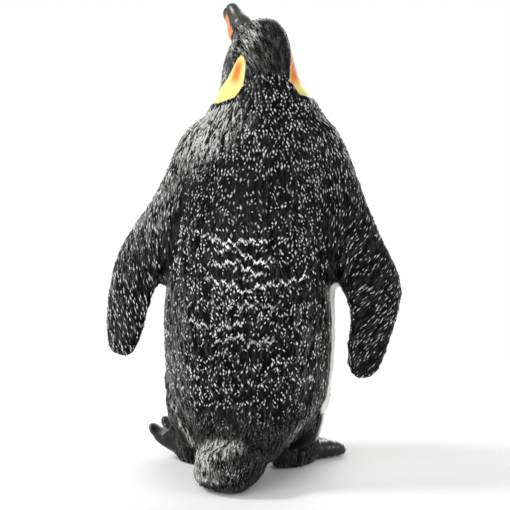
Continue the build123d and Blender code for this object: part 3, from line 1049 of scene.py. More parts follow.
class Zones:
    """Zones of the coat on a skin, most of them as shares from 0 to 1 of its vertices."""

    WING_TOP = (64.0, 58.0)
    ARMPIT = (36.0, 34.5)
    CROWN = (77.3, 80.0)
    BEAK = (-0.9, -0.2)
    THROAT = (70.5, 69.6)
    LOW = (20.0, 9.0)
    MIDDLE = (58.0, 50.0)
    TAIL_LOBE = (2.0, 5.0)
    # Directions of the key light; the masks that face them lay painted sheen on the coat.
    LIGHT = (0.5, 0.25, 0.8)
    TAIL_LIGHT = (0.8, 0.3, 0.55)
    # Middle of the painted sheen on the left shoulder.
    SHOULDER = (8.2, 69.6)
    # Oval on the upper back where the white tips are fewer and dimmer.
    DIP = (-2.4, 57.3, 6.5, 4.5)
    CALM = (0.7, 33.0, 6.0, 7.0)
    BELLY_EDGE = ((6, 30, 45, 58, 66, 70), (101, 101, 95, 84, 62, 44))
    LEFT_FLANK = 13.0
    DEGREE = 0.12
    PATCHES = {
        Side.LEFT: (
            (138, 82.2), (146, 81.8), (152, 80.6), (154, 79.0), (154, 76.5),
            (148, 74.7), (124, 73.2), (92, 72.4), (71, 72.0), (65, 72.8),
            (90, 74.8), (106, 75.8), (119, 77.2), (125, 79.0), (129, 81.2),
        ),
        Side.RIGHT: (
            (-88, 83.0), (-100, 82.4), (-118, 80.0), (-130, 77.2), (-123, 75.0),
            (-105, 74.2), (-80, 73.4), (-60, 73.0), (-70, 76.0), (-80, 80.0),
        ),
    }

    def __init__(self, figure: Figure, mesh: Mesh) -> None:
        """Grades the vertices of a skin.

        Args:
            figure: The figure's main lines.
            mesh: The sculpted skin.
        """
        self.figure = figure
        self.points = coordinates(mesh)
        self.outward = normals(mesh)
        self.own = figure.own(self.points)
        self.x, _, self.height = self.own.T
        self.away = {side: figure.shoulder(side).depth(self.points) for side in Side}
        self.tail = figure.tail().depth(self.points)
        self.rear = smooth(-0.25, 0.1, self.outward[:, 1])
        self.lit = smooth(0.1, 0.9, facing(self.outward, *self.LIGHT))
        self.crown = smooth(*self.CROWN, self.height)
        self.beak = smooth(*self.BEAK, figure.bill().depth(self.points))
        self.grade_wings()
        self.grade_ears()
        self.grade_front()
        self.grade_back()

    def grade_wings(self) -> None:
        """Grades the flippers, and the low end of the trunk that they don't reach."""
        beyond = np.maximum(self.away[Side.LEFT], self.away[Side.RIGHT])
        hanging = smooth(-1.0, 0.0, beyond) * smooth(*self.ARMPIT, self.height)
        self.wing = np.maximum(smooth(0.5, 2.5, beyond), hanging) * smooth(*self.WING_TOP, self.height)
        self.low = smooth(*self.LOW, self.height) * (1 - self.wing)

    def grade_ears(self) -> None:
        """Grades the ear patches, and what is clear of the hem under them; along the hem the coat stays
        black as a painted shade line.
        """
        self.turned = self.figure.bearing(self.own, self.figure.skull[:2])
        squeeze = np.array([self.DEGREE, 1.0])
        spots = np.stack([self.turned, self.height], axis=1) * squeeze
        outlines = [np.array(outline) * squeeze for outline in self.PATCHES.values()]
        self.ear = np.max([outline_depth(outline, spots) for outline in outlines], axis=0)
        self.patch = smooth(-0.12, 0.12, self.ear)
        # The pale paint and sheen are left out along the collar's hem, leaving a black band of painted shade
        # under it.
        off_hem = np.abs(self.figure.below_hem(self.turned, self.height) - 0.2)
        self.clear = np.maximum(smooth(0.5, 1.2, off_hem), smooth(150.0, 165.0, np.abs(self.turned)))

    def grade_front(self) -> None:
        """Grades the white belly, the flippers' undersides and the dark rest."""
        self.ahead = np.abs(self.figure.bearing(self.own, (0.0, 0.0)))
        edge = np.interp(self.height, *self.BELLY_EDGE)
        self.edge = edge - self.LEFT_FLANK * (self.x > 0) * smooth(62.0, 50.0, self.height)
        front = smooth(1.5, -1.5, self.ahead - self.edge) * smooth(*self.THROAT, self.height)
        self.front = front * (1 - self.wing)
        under = np.zeros(len(self.points))
        for side, distance in self.away.items():
            face = facing(self.outward, -0.55 * side.value, -0.83, -0.05)
            face = face * smooth(-0.65, -0.85, self.outward[:, 1])
            under = np.maximum(under, smooth(0.72, 0.85, face) * smooth(1.0, 2.5, distance))
        self.white = np.maximum(self.front, under * self.wing)
        self.dark = (1 - self.white) * (1 - self.patch)

    def grade_back(self) -> None:
        """Grades the spots of the back that are painted in their own way, and the painted sheen above the
        left eye, on the left shoulder and on the tail's lobe where they face the key light.
        """
        x, height = self.x, self.height
        self.lobe = smooth(*self.TAIL_LOBE, self.tail)
        # Painted sheen on the tail's lobe where it faces the key light.
        self.lobe_lit = smooth(0.35, 0.95, facing(self.outward, *self.TAIL_LIGHT)) * self.lobe
        apart = np.linalg.norm(self.points - np.array(eye_middle(Side.LEFT)), axis=1) / MM
        # Painted sheen above and behind the left eye, on its lit side.
        self.brow = bell(apart, 3.2, 1.8) * self.lit
        centre_x, centre_z = self.SHOULDER
        down = (x - centre_x - (height - centre_z)) * 0.71
        out = (x - centre_x + (height - centre_z)) * 0.71
        shoulder = (down / 7.5) ** 2 + np.abs(out / np.where(out < 0, 5.0, 8.0)) ** 3
        # Painted sheen on the left shoulder, on its lit side.
        self.shoulder = np.exp(-shoulder) * self.rear * self.lit
        self.dip = spot(self.own, *self.DIP) * self.rear
        self.calm = spot(self.own, *self.CALM) * self.rear
        self.middle = smooth(*self.MIDDLE, height) * (1 - self.wing) * (1 - self.low)
        self.band = np.cos(2 * math.pi * (height + 0.5 * np.sin(x * 0.9) + x * 0.12) / 3.4)


@dataclass
class Plumage:
    """Feathered skin of head, trunk, flippers and tail, and its cut into the moulded pieces.

    Rises, grooves and creases are in millimetres.
    """

    figure: Figure
    pitch: float = 0.73 * MM
    softening: int = 3
    levels: int = 1
    root_rounds: int = 160
    collar_rise: float = 0.65
    collar_groove: float = 0.5
    armpit_crease: float = 0.9
    tail_groove: float = 1.0
    tail_swell: float = 1.1
    tail_end: float = 1.2
    tail_line: float = 0.35
    tail_middle: float = 2.4
    thigh_hem: float = 0.8
    skirt_rise: float = 0.35
    eyelid_rise: float = 0.2
    brow_rise: float = 0.55
    most_rub: float = 2.6
    bold_ridges: int = 4
    seed: int = 11

    NODES = ("back_shell", "belly_shell", "head", "bill", "left_flipper", "right_flipper", "tail")
    LEANS = {Side.LEFT: 0.42, Side.RIGHT: 1.0}
    STROKES = StrokeSize(2.0, 0.85, 0.1)
    PLAIN_TIP = TipSize(0.54, 1.05, 0.66, 0.2, 0.5)
    FLIPPER_TIP = TipSize(0.5, 1.35, 0.48, 0.2, 0.12)
    RIDGE_TIP = TipSize(0.54, 1.1, 0.7, 0.38, 0.5)
    STREAK = TipSize(0.5, 1.2, 0.4, 0.1, 0.35)
    RIDGES = (
        ((9.1, 49.6), (6.5, 49.3), (3.4, 48.3), (-2.0, 48.7), (-4.6, 48.6)),
        ((4.4, 46.9), (2.0, 47.4), (-1.3, 45.8), (-5.2, 44.0)),
        ((5.1, 44.0), (0.8, 45.0), (-0.7, 43.5), (-4.2, 42.2)),
        ((7.3, 41.6), (1.6, 40.3), (-0.6, 39.0), (-3.9, 40.3), (-8.5, 40.7), (-11.7, 41.4)),
        ((9.0, 36.9), (3.0, 36.2), (-3.0, 36.9), (-6.0, 35.8)),
        ((11.6, 32.6), (5.2, 32.0), (0.0, 33.0)),
        ((5.9, 28.8), (0.9, 30.5), (-1.3, 29.2), (-6.0, 29.6)),
    )

    def collar(self, own: Array) -> Array:
        """Rise of the collar's hem around the neck, with a groove above it.

        Args:
            own: Points about the trunk's axis, in millimetres.

        Returns:
            Rises of the points.
        """
        turned = self.figure.bearing(own, self.figure.skull[:2])
        below = self.figure.below_hem(turned, own[:, 2])
        swell = smooth(-0.2, 0.3, below) * np.exp(-np.maximum(below, 0.0) / 3.5)
        rise = self.collar_rise * swell - self.collar_groove * bell(below, -0.35, 0.35)
        reach = np.where(turned > 0, smooth(168.0, 150.0, turned), smooth(-146.0, -128.0, turned))
        return rise * reach * smooth(75.0, 130.0, np.abs(turned))

    def narrow_tail(self, points: Array, lobe: Array) -> None:
        """Draws the tail's lobe in towards its lower end.

        Args:
            points: The skin's points, which are moved.
            lobe: Shares of the lobe.
        """
        own = self.figure.own(points)
        right = np.interp(own[:, 2], (0, 2.5, 6, 9), (0.45, 0.64, 0.84, 1.0))
        left = np.interp(own[:, 2], (0, 0.6, 1.4, 2.6), (0.6, 0.8, 0.93, 1.0))
        across = own[:, 0] - self.tail_middle
        across = across * np.where(across < 0, right, left)
        own[:, 0] += lobe * (self.tail_middle + across - own[:, 0])
        own[:, 1] += lobe * (left - 1) * np.maximum(own[:, 1] - 12.0, 0.0)
        points[:, :2] = (own[:, :2] + np.array(self.figure.axis)) * MM

    def sculpt(self, mesh: Mesh) -> None:
        """Models the coat's hems, creases and hollows into the smooth skin.

        Args:
            mesh: The skin to change.
        """
        figure = self.figure
        tail = figure.tail().depth(coordinates(mesh))
        own = figure.own(coordinates(mesh))
        near = np.exp(-((tail / 4.0) ** 4)) * smooth(2.0, 8.0, own[:, 1])
        relax(mesh, near, self.root_rounds)
        points = coordinates(mesh)
        outward = normals(mesh)
        own = figure.own(points)
        x, _, height = own.T
        rear = smooth(-0.2, 0.3, outward[:, 1])
        rise = self.collar(own)

        for side in Side:
            crease = bell(figure.shoulder(side).depth(points), -0.3, 1.1) * smooth(60.0, 50.0, height)
            rise -= self.armpit_crease * crease * rear * smooth(30.0, 37.0, height)

        root = smooth(9.5, 4.0, np.abs(x - 0.8)) * rear
        rise -= self.tail_groove * bell(tail, 3.8, 1.4) * root
        rise += self.tail_swell * bell(tail, 7.0, 2.0) * root
        foot = smooth(10.0, 4.0, np.abs(x - 2.6)) * rear * smooth(3.0, 6.0, tail)
        rise += self.tail_end * bell(height, 1.5, 3.0) * foot
        rise -= self.tail_line * bell(height, 3.0, 0.9) * foot * smooth(0.0, 3.0, x)

        low = np.flatnonzero((height < 24.0) & (tail < 2.0))
        legs = merged_copy(("left_leg", "right_leg"))
        tree = surface(legs)
        gaps = np.array([tree.find_nearest(Vector(points[index]))[3] for index in low]) / MM
        rise[low] += self.thigh_hem * bell(gaps, 1.0, 0.7)
        rise += self.skirt_rise * figure.skirt(own, outward) * smooth(2.0, 0.0, tail)
        bpy.data.meshes.remove(legs)

        for side in Side:
            middle = np.array(eye_middle(side))
            apart = np.linalg.norm(points - middle, axis=1) / MM
            back = (points - middle) @ -figure.bill_axes()[0] / MM
            rise += self.eyelid_rise * bell(apart, 1.55, 0.3)
            rise += self.brow_rise * bell(apart, 1.9, 0.6) * smooth(0.2, 1.4, back)

        points = points + outward * (rise * MM)[:, None]
        self.narrow_tail(points, smooth(1.0, 4.0, tail))
        move_to(mesh, points)

    def flow(self, zones: Zones) -> Array:
        """Direction in which the feathers lie, along the surface.

        Args:
            zones: The skin's zones.

        Returns:
            Unit vectors.
        """
        height = zones.height
        fan = unit(zones.own - np.array([-2.6, 0.5, 86.0]))
        field = led(fan, DOWN, smooth(74.0, 50.0, height))
        for side, distance in zones.away.items():
            inward = np.array([-self.LEANS[side] * side.value, 0.0, -0.9])
            field = led(field, inward, smooth(0.0, 6.0, distance) * smooth(58.0, 46.0, height))
        turn = math.radians(self.figure.head_turn)
        back = np.array([[-math.sin(turn), math.cos(turn), -0.7]])
        field = led(field, unit(back), smooth(76.0, 82.0, height))
        return along_surface(field, zones.outward)

    def colour(self, mesh: Mesh, zones: Zones) -> None:
        """Stores the white front, its yellow bib and the ear patches with their orange middle.

        Args:
            mesh: The skin that carries the paint.
            zones: The skin's zones.
        """
        turned, height, patch = zones.turned, zones.height, zones.patch
        bib = zones.front * smooth(56.0, 68.0, height)
        write(mesh, Coat.WHITE, np.maximum(zones.white, patch))
        write(mesh, Coat.YELLOW, np.maximum(bib * 0.9, patch * 0.78))
        blob = np.exp(-(((turned - 138.0) / 9.0) ** 4 + ((height - 79.2) / 2.2) ** 4))
        core = patch * np.where(turned > 0, blob, smooth(75.8, 78.0, height))
        ragged = zones.ear + 0.25 * np.sin(turned * 0.9) * np.sin(height * 4.0) + 0.3
        core = core * smooth(-0.1, 0.9, ragged)
        write(mesh, Coat.ORANGE, np.maximum(core * 0.9, bib * smooth(64.0, 69.5, height) * 0.6))

    def brush(self, zones: Zones) -> Array:
        """White that is brushed over the feather tips, made stronger as painted sheen above the left eye, on
        the tail's lit lobe and on the left shoulder.

        Args:
            zones: The skin's zones.

        Returns:
            Strength for each vertex.
        """
        x, height, crown, low = zones.x, zones.height, zones.crown, zones.low
        thin = np.sin(x * 0.31 + 1.3) * np.sin(height * 0.23 + x * 0.07)
        chest = smooth(48.0, 54.0, height) * (1 - zones.wing)
        right = zones.wing * (x < 0)
        brush = (0.3 + 0.7 * zones.rear) * np.clip(0.85 + 0.2 * thin + 0.2 * zones.band, 0.0, 1.0)
        brush = brush * (1 - 0.16 * chest) * (1 - 0.25 * right) * (1 - 0.25 * zones.dip)
        # Little white on the crown, more above the left eye as painted sheen; on the low end more where the
        # tail's lobe faces the key light, also painted sheen.
        crown_brush = 0.03 + 0.3 * zones.brow
        low_brush = 0.06 + 0.6 * zones.lobe_lit
        brush = brush * (1 - crown) * (1 - low) + crown * crown_brush + low * low_brush
        # Pale tips in the left shoulder's painted sheen.
        brush = brush * (1 - zones.shoulder) + zones.shoulder * 0.6
        specks = spot(zones.own, 2.0, 5.2, 3.0, 1.4) * zones.rear * zones.lobe
        return np.maximum(brush, 0.7 * specks) * zones.dark

    def rub(self, zones: Zones) -> Array:
        """Pale paint over the relief, and painted sheen on the crown, above the left eye, on the left
        shoulder and flipper, the flanks, the tail's lobe and the hems over the legs, strongest where they
        face the key light.

        Args:
            zones: The skin's zones.

        Returns:
            Strength for each vertex.
        """
        x, height, lit = zones.x, zones.height, zones.lit
        crown, low, wing = zones.crown, zones.low, zones.wing
        skirt = self.figure.skirt(zones.own, zones.outward) * smooth(2.0, 0.0, zones.tail)
        # Painted sheen on the upper outer side of the left flipper.
        arm = wing * (x > 0) * lit * smooth(40.0, 50.0, height)
        arm = arm * smooth(63.0, 68.5, x + height)
        # Painted sheen low on both flanks.
        sheen = 0.4 * smooth(8.5, 13.0, x) * smooth(43.0, 37.0, height)
        sheen = sheen + 0.2 * smooth(-9.0, -12.5, x) * smooth(37.0, 31.0, height)
        sheen = sheen * (1 - wing) * zones.rear * smooth(9.0, 13.0, height)
        # Pale paint on the crown, with painted sheen on its lit side, above the left eye and on the left
        # shoulder.
        rub = np.maximum(crown * (0.13 + 0.3 * lit) + 0.9 * zones.brow, 3.7 * zones.shoulder)
        # Pale paint on the low end, with painted sheen on the tail's lit lobe, and pale paint with a painted
        # highlight along the hems over the legs, brightest on their lit side.
        rub = np.maximum(rub, low * (0.12 + 3.6 * zones.lobe_lit) + skirt * (0.6 + 1.6 * lit))
        ground = (1 - crown) * (1 - low) * 0.03 + 0.045 * zones.middle
        rub = np.maximum(rub, ground + wing * (0.04 + 0.12 * lit))
        rub = rub + 0.65 * arm + sheen
        # Nothing pale along the collar's hem, where the black stays as painted shade.
        return np.clip(rub * zones.clear, 0.0, self.most_rub)

    def beside_ridges(self, zones: Zones) -> Array:
        """Bare strips above the boldest ridges of the back.

        Args:
            zones: The skin's zones.

        Returns:
            Shares from 0 to 1.
        """
        bare = np.zeros(len(zones.points))
        for ridge in self.RIDGES[: self.bold_ridges]:
            across, heights = np.array(ridge)[::-1].T
            above = zones.height - np.interp(zones.x, across, heights)
            span = smooth(across[0] - 0.5, across[0] + 1.0, zones.x)
            span = span * smooth(across[-1] + 0.5, across[-1] - 1.0, zones.x)
            strip = smooth(0.3, 0.7, above) * smooth(2.2, 1.4, above) * span * zones.rear
            bare = np.maximum(bare, strip)
        return bare

    def tips(self, zones: Zones) -> Array:
        """How densely feather tips stand on the coat.

        Args:
            zones: The skin's zones.

        Returns:
            Shares from 0 to 1.
        """
        x, height = zones.x, zones.height
        tips = zones.dark * (1 - zones.crown) * (1 - 0.75 * zones.low) * smooth(0.1, 0.5, -zones.ear)
        flanks = 1 - 0.5 * smooth(142.0, 122.0, zones.ahead) * smooth(48.0, 42.0, height)
        behind = smooth(3.0, 11.0, zones.ahead - zones.edge) * flanks
        tips = tips * np.maximum(np.maximum(zones.white, zones.wing), behind)
        for side, distance in zones.away.items():
            fold = bell(distance, -0.3, 1.3) * smooth(58.0, 52.0, height) * zones.rear
            tips = tips * (1 - 0.9 * fold)
            slant = 0.9 * x - self.LEANS[side] * side.value * height
            row = 0.5 + 0.5 * np.cos(2 * math.pi * slant / 1.3)
            tips = tips * (1 - 0.88 * row * smooth(1.0, 4.0, distance) * smooth(60.0, 54.0, height))
        middle = zones.middle * zones.dark
        wave = height + 0.4 * np.sin(2.3 * x + 0.4 * height) + 0.5 * np.sin(0.45 * x + 1.0)
        chain = 0.68 + 0.32 * smooth(-0.5, 0.6, np.cos(2 * math.pi * wave / 2.1))
        tips = tips * (0.8 + 0.2 * zones.band) * (1 - middle + 0.95 * middle * chain)
        tips = tips * (1 - 0.45 * zones.dip) * (1 - 0.22 * zones.calm)
        # Fewer tips in the left shoulder's painted sheen, where fine pale streaks stand instead.
        return tips * (1 - 0.85 * self.beside_ridges(zones)) * (1 - 0.6 * zones.shoulder)

    def streaks(self, zones: Zones) -> Array:
        """How densely fine streaks stand on crown, the painted sheen of the left shoulder and the low end of
        the trunk.

        Args:
            zones: The skin's zones.

        Returns:
            Shares from 0 to 1.
        """
        share = np.clip(zones.crown + zones.low + 1.3 * zones.shoulder, 0, 1)
        return zones.dark * share * (1 - zones.beak) * smooth(0.6, 1.0, -zones.ear) * zones.clear

    def paint(self, mesh: Mesh) -> None:
        """Stores the coat's flow, relief and paint on the skin.

        Args:
            mesh: The sculpted skin.
        """
        zones = Zones(self.figure, mesh)
        write(mesh, Coat.FLOW, self.flow(zones))
        self.colour(mesh, zones)
        gain = (1 - 0.3 * zones.crown + 1.0 * zones.low) * (1 - 0.9 * zones.patch)
        write(mesh, Coat.GAIN, gain * (1 + 0.15 * zones.white) * (1 - zones.beak))
        # White on the tips and pale paint on the relief, both partly painted sheen.
        write(mesh, Coat.BRUSH, self.brush(zones))
        write(mesh, Coat.RUB, self.rub(zones))
        write(mesh, Coat.SWAY, 1 + 0.6 * (zones.middle * zones.dark))
        write(mesh, Coat.TIPS, self.tips(zones))
        write(mesh, Coat.STREAKS, self.streaks(zones))

    def skin(self, material: Material) -> Mesh:
        """The whole feathered skin, with its strokes raised.

        Args:
            material: The painted coat.

        Returns:
            The closed skin.
        """
        mesh = remeshed(self.NODES, self.pitch, self.softening, self.levels)
        self.sculpt(mesh)
        self.paint(mesh)
        return self.STROKES.raised(mesh, material, float(self.seed))

    def ridge_rows(self, skin: Mesh) -> Mesh:
        """Wavy rows of points across the middle of the back, where feather edges stand up in ridges.

        Args:
            skin: The skin that the rows lie on.

        Returns:
            A mesh of loose vertices with their flow, normal and paint.
        """
        tree = surface(skin)
        draw = np.random.default_rng(self.seed)
        spots, faces, paints = [], [], []
        for order, ridge in enumerate(self.RIDGES):
            across, heights = np.array(ridge)[::-1].T
            phase = draw.uniform(0, 6.28)
            for x in np.arange(across[0], across[-1], 0.3):
                level = np.interp(x, across, heights) + 0.4 * math.sin(2.9 * x + phase)
                level += draw.uniform(-0.2, 0.2)
                start = Vector(self.figure.placed(x, 60.0, level))
                hit, normal, _, _ = tree.ray_cast(start, Vector((0, -1, 0)))
                spots.append(tuple(hit))
                faces.append(normal)
                paints.append(1.6 if order < self.bold_ridges else 0.9)
        mesh = bpy.data.meshes.new("ridge_rows")
        mesh.from_pydata(spots, [], [])
        write(mesh, Coat.FLOW, np.tile(DOWN, (len(spots), 1)))
        write(mesh, Coat.OUTWARD, np.array(faces))
        write(mesh, Coat.BRUSH, np.array(paints))
        write(mesh, Coat.SWAY, np.full(len(spots), 1.4))
        return mesh

    def build(self, material: Material) -> dict[str, Object]:
        """Makes the feathered pieces.

        Args:
            material: The painted coat.

        Returns:
            Objects by CAD node name.
        """
        skin = self.skin(material)
        cuts = {
            "bill": self.figure.bill(),
            "head": self.figure.collar(),
            "left_flipper": self.figure.shoulder(Side.LEFT),
            "right_flipper": self.figure.shoulder(Side.RIGHT),
            "tail": self.figure.tail(),
        }
        rest = skin_to_cut(skin)
        parts = {}
        for name, seam in cuts.items():
            parts[name], rest = cut(rest, seam)
        parts["back_shell"], parts["belly_shell"] = cut(rest, self.figure.split())
        parts.pop("bill").free()
        tips = tip_tree("feather_tips", Coat.TIPS)
        streaks = tip_tree("feather_streaks", Coat.STREAKS)
        rows = tip_tree("ridge_tips", None)
        made = {}
        for order, (name, part) in enumerate(parts.items()):
            mesh = mesh_from(part, name + "_feathered", material)
            seed = self.seed + 10 * order
            tip = self.FLIPPER_TIP if "flipper" in name else self.PLAIN_TIP
            extras = [
                apply_tree(mesh.copy(), tips, tip.settings(material, seed)),
                apply_tree(mesh.copy(), streaks, self.STREAK.settings(material, seed)),
            ]
            if name == "back_shell":
                settings = self.RIDGE_TIP.settings(material, self.seed)
                extras.append(apply_tree(self.ridge_rows(skin), rows, settings))
            made[name] = join_into(new_object(name + "_feathered", mesh), extras)
        return made


@dataclass
class Bill:
    """Horny bill with its gape line and orange side plates, with sizes in millimetres."""

    figure: Figure
    length: float = 7.0
    gape_level: float = 0.85
    gape_depth: float = 0.2
    gape_width: float = 0.16
    plate_length: float = 5.4
    pitch: float = 0.2 * MM
    softening: int = 6
    finish: Finish = Finish(
        "bill_horn",
        (0.014, 0.016, 0.013),
        ((Horn.PLATE, (0.80, 0.23, 0.07)), (Horn.GAPE, (0.004, 0.004, 0.004))),
        (0.28, 0.38),
        0.5,
    )

    def build(self) -> Object:
        """Makes the bill.

        Returns:
            The bill without its peg.
        """
        mesh = remeshed(("bill",), self.pitch, self.softening, 0)
        points = coordinates(mesh)
        outward = normals(mesh)
        ahead, left, up = self.figure.bill_axes()
        offset = self.figure.own(points) - np.array(self.figure.bill_root)
        along, across, above = offset @ ahead, offset @ left, offset @ up
        fuller = (0.04 + 0.06 * np.clip(along, 0.0, self.length)) * np.maximum(above, 0.0)
        points = points + fuller[:, None] * up * MM
        level = self.gape_level * (1 - 0.5 * along / self.length)
        line = bell(above, level, self.gape_width) * smooth(0.5, 0.9, np.abs(across))
        move_to(mesh, points - outward * (line * self.gape_depth * MM)[:, None])
        top = level - 0.2
        bottom = -1.9 + 0.16 * along
        plate = smooth(0.0, -0.12, above - top) * smooth(-0.1, 0.1, above - bottom)
        plate = plate * smooth(self.plate_length, self.plate_length - 0.5, along + 0.6 * (top - above))
        write(mesh, Horn.PLATE, plate)
        write(mesh, Horn.GAPE, line)
        horn, peg = cut(skin_to_cut(mesh), self.figure.bill())
        peg.free()
        return new_object("bill_horn", mesh_from(horn, "bill_horn", self.finish.material()))


@dataclass
class Eye:
    """Bead of one eye."""

    side: Side
    segments: int = 32
    rings: int = 16
    finish: Finish = Finish("eye_bead", (0.006, 0.004, 0.003), (), (0.12, 0.16), 0.4)

    def build(self) -> Object:
        """Makes the bead in its CAD place.

        Returns:
            The bead.
        """
        low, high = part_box(f"{self.side.label}_eye")
        radius = (high.x - low.x) / 2
        bead = bmesh.new()
        bmesh.ops.create_uvsphere(bead, u_segments=self.segments, v_segments=self.rings, radius=radius)
        bmesh.ops.translate(bead, verts=bead.verts, vec=eye_middle(self.side))
        for face in bead.faces:
            face.smooth = True
        mesh = mesh_from(bead, "eye_bead", self.finish.material())
        return new_object(f"{self.side.label}_eye_bead", mesh)


@dataclass
class Leg:
    """Feathered leg and the scaled, clawed foot under it, with sizes in millimetres."""

    figure: Figure
    side: Side
    out_shift: float
    heading: float
    lift: float
    shin_edge: float
    pad: float = 0.0
    ankle: Pair = (9.2, -4.0)
    toe_spread: float = 23.0
    toe_length: float = 11.8
    toe_radius: float = 1.7
    scute_pitch: float = 1.7
    scute_depth: float = 0.1
    groove_width: float = 0.28
    pitch: float = 0.4 * MM
    softening: int = 8
    root_rounds: int = 120
    finish: Finish = CoatFinish(
        "foot_scales",
        (0.003, 0.003, 0.0035),
        ((Horn.CLAW, (0.12, 0.12, 0.115)),),
        (0.12, 0.2),
        0.35,
        Horn.GLOSS,
    )

    STROKES = StrokeSize(5.0, 0.9, 0.28)
    SEED = 3.0

    def heel(self) -> Array:
        """Point on the toes' common root, about the trunk's axis."""
        return np.array([self.side.value * (self.ankle[0] + self.out_shift), self.ankle[1], self.toe_radius])

    def reach(self, own: Array) -> Array:
        """Level distance of points from the heel."""
        return np.linalg.norm((own - self.heel())[:, :2], axis=1)

    def seam(self) -> Seam:
        """Seam between leg and foot, tilted with the toes.

        Returns:
            The seam, with the foot beyond it.
        """
        lean = math.radians(self.lift * 1.25)
        turn = math.radians(self.side.value * self.heading)
        ahead = math.sin(lean)
        x, y, _ = self.heel()
        normal = (math.sin(turn) * ahead, -math.cos(turn) * ahead, -math.cos(lean))
        return Seam(self.figure.placed(x, y, self.figure.ankle_z), normal)

    def toe_axes(self) -> list[Array]:
        """Directions of the three toes, about the trunk's axis.

        Returns:
            Unit vectors.
        """
        axes = []
        lift = math.radians(self.lift)
        turn = math.radians(180.0 + self.side.value * self.heading)
        cosine, sine = math.cos(turn), math.sin(turn)
        for angle in (-self.toe_spread, 0.0, self.toe_spread):
            spread = math.radians(angle)
            x, y = -math.sin(spread), math.cos(spread)
            y, z = y * math.cos(lift), y * math.sin(lift)
            axes.append(np.array([x * cosine - y * sine, x * sine + y * cosine, z]))
        return axes

    def pads(self) -> Mesh:
        """Fleshy pads under the toes of a raised foot, and the blunt ends of the toes.

        Returns:
            A mesh of balls that run into each other.
        """
        balls = bmesh.new()
        steps, first, run = 12, 2.0, 7.0
        for axis in self.toe_axes():
            spots = [(self.heel() + axis * (self.toe_length - 1.3), self.toe_radius * 0.8)]
            for step in range(steps):
                along = first + run * step / (steps - 1)
                middle = self.heel() + axis * along
                middle[2] -= self.pad * (1 - 0.6 * along / (first + run))
                middle[2] = max(middle[2], self.toe_radius)
                spots.append((middle, self.toe_radius))
            for middle, radius in spots:
                made = bmesh.ops.create_icosphere(balls, subdivisions=2, radius=radius * MM)
                bmesh.ops.translate(balls, verts=made["verts"], vec=self.figure.placed(*middle))
        return mesh_from(balls, "toe_pads")

    def dish(self, mesh: Mesh) -> Array:
        """How far the web's top sinks between raised toes.

        Args:
            mesh: The skin of leg and foot.

        Returns:
            Offsets of its vertices, in metres.
        """
        offset = self.figure.own(coordinates(mesh)) - self.heel()
        toe = self.toe_axes()[1]
        across = unit(np.cross(-DOWN, toe)[None, :])[0]
        up = np.cross(toe, across)
        along, above = offset @ toe, offset @ up
        ahead = offset[:, :2] @ unit(toe[None, :2])[0]
        share = smooth(4.4, 5.6, ahead) * smooth(3.6, 2.8, above)
        share = share * smooth(self.toe_length + 1.0, self.toe_length - 4.0, along)
        sunk = 0.9 * np.maximum(above + 0.2, 0.0) * share * (self.lift > 0)
        return sunk[:, None] * up * MM

    def model(self, mesh: Mesh) -> None:
        """Cuts the scutes' grooves across the toes and stores the coat's and the claws' attributes.

        Args:
            mesh: The skin of leg and foot.
        """
        points = coordinates(mesh) - self.dish(mesh)
        move_to(mesh, points)
        outward = normals(mesh)
        own = self.figure.own(points)
        heel = self.heel()
        radius, length = self.toe_radius, self.toe_length
        skirt = self.figure.skirt(own, outward)
        groove = -3.5 * skirt
        claw = np.zeros(len(points))
        nearest = np.full(len(points), np.inf)
        for axis in self.toe_axes():
            along = (own - heel) @ axis
            apart = np.linalg.norm(own - heel - along[:, None] * axis, axis=1)
            nearest = np.minimum(nearest, apart)
            near = smooth(radius * 1.6, radius * 1.2, apart)
            phase = np.abs((along / self.scute_pitch) % 1.0 - 0.5) * self.scute_pitch
            ring = bell(phase, 0.0, self.groove_width) * smooth(4.0, 5.5, along) * (self.lift == 0)
            ring = ring * smooth(length, length - 1.0, along)
            deeper = (ring * near > groove) & (skirt <= 0.05)
            groove = np.where(deeper, ring * near, groove)
            claw = np.maximum(claw, smooth(length - 0.7, length - 0.3, along) * near)
        move_to(mesh, points - outward * (groove * self.scute_depth * MM)[:, None])
        reach = self.reach(own)
        toes = smooth(5.0, 6.4, reach) * smooth(9.0, 7.5, own[:, 2])
        toes = np.maximum(toes, smooth(radius * 1.6, radius * 1.3, nearest) * smooth(4.5, 6.0, reach))
        shin = smooth(self.shin_edge, self.shin_edge - 0.2, outward[:, 1])
        shin = shin * smooth(-0.3, -1.3, self.seam().depth(points))
        write(mesh, Horn.CLAW, claw)
        write(mesh, Coat.FLOW, along_surface(DOWN, outward))
        write(mesh, Coat.WHITE, shin)
        write(mesh, Coat.GAIN, 1 - toes)
        write(mesh, Horn.GLOSS, 0.1 + 0.9 * toes)
        # Pale paint on the leg's feathers, and pale paint with a painted highlight along the hem ridge over
        # it.
        write(mesh, Coat.RUB, (0.22 * (1 - toes) + 1.7 * skirt) * (1 - shin))

    def build(self, coat: Material) -> dict[str, Object]:
        """Makes the leg and the foot.

        Args:
            coat: The painted coat.

        Returns:
            Objects by CAD node name.
        """
        leg_node, foot_node = f"{self.side.label}_leg", f"{self.side.label}_foot"
        mesh = remeshed((leg_node, foot_node), self.pitch, self.softening, 1, [self.pads()])
        own = self.figure.own(coordinates(mesh))
        height = own[:, 2]
        root = smooth(8.0, 6.0, self.reach(own)) * smooth(0.3, 1.2, height) * smooth(9.0, 7.0, height)
        relax(mesh, root, self.root_rounds)
        self.model(mesh)
        mesh = self.STROKES.raised(mesh, coat, self.SEED + self.side.value)
        foot, leg = cut(skin_to_cut(mesh), self.seam())
        feathered = mesh_from(leg, leg_node, coat)
        scaled = mesh_from(foot, foot_node, self.finish.material())
        return {
            leg_node: new_object(f"{leg_node}_feathered", feathered),
            foot_node: new_object(f"{foot_node}_scaled", scaled),
        }


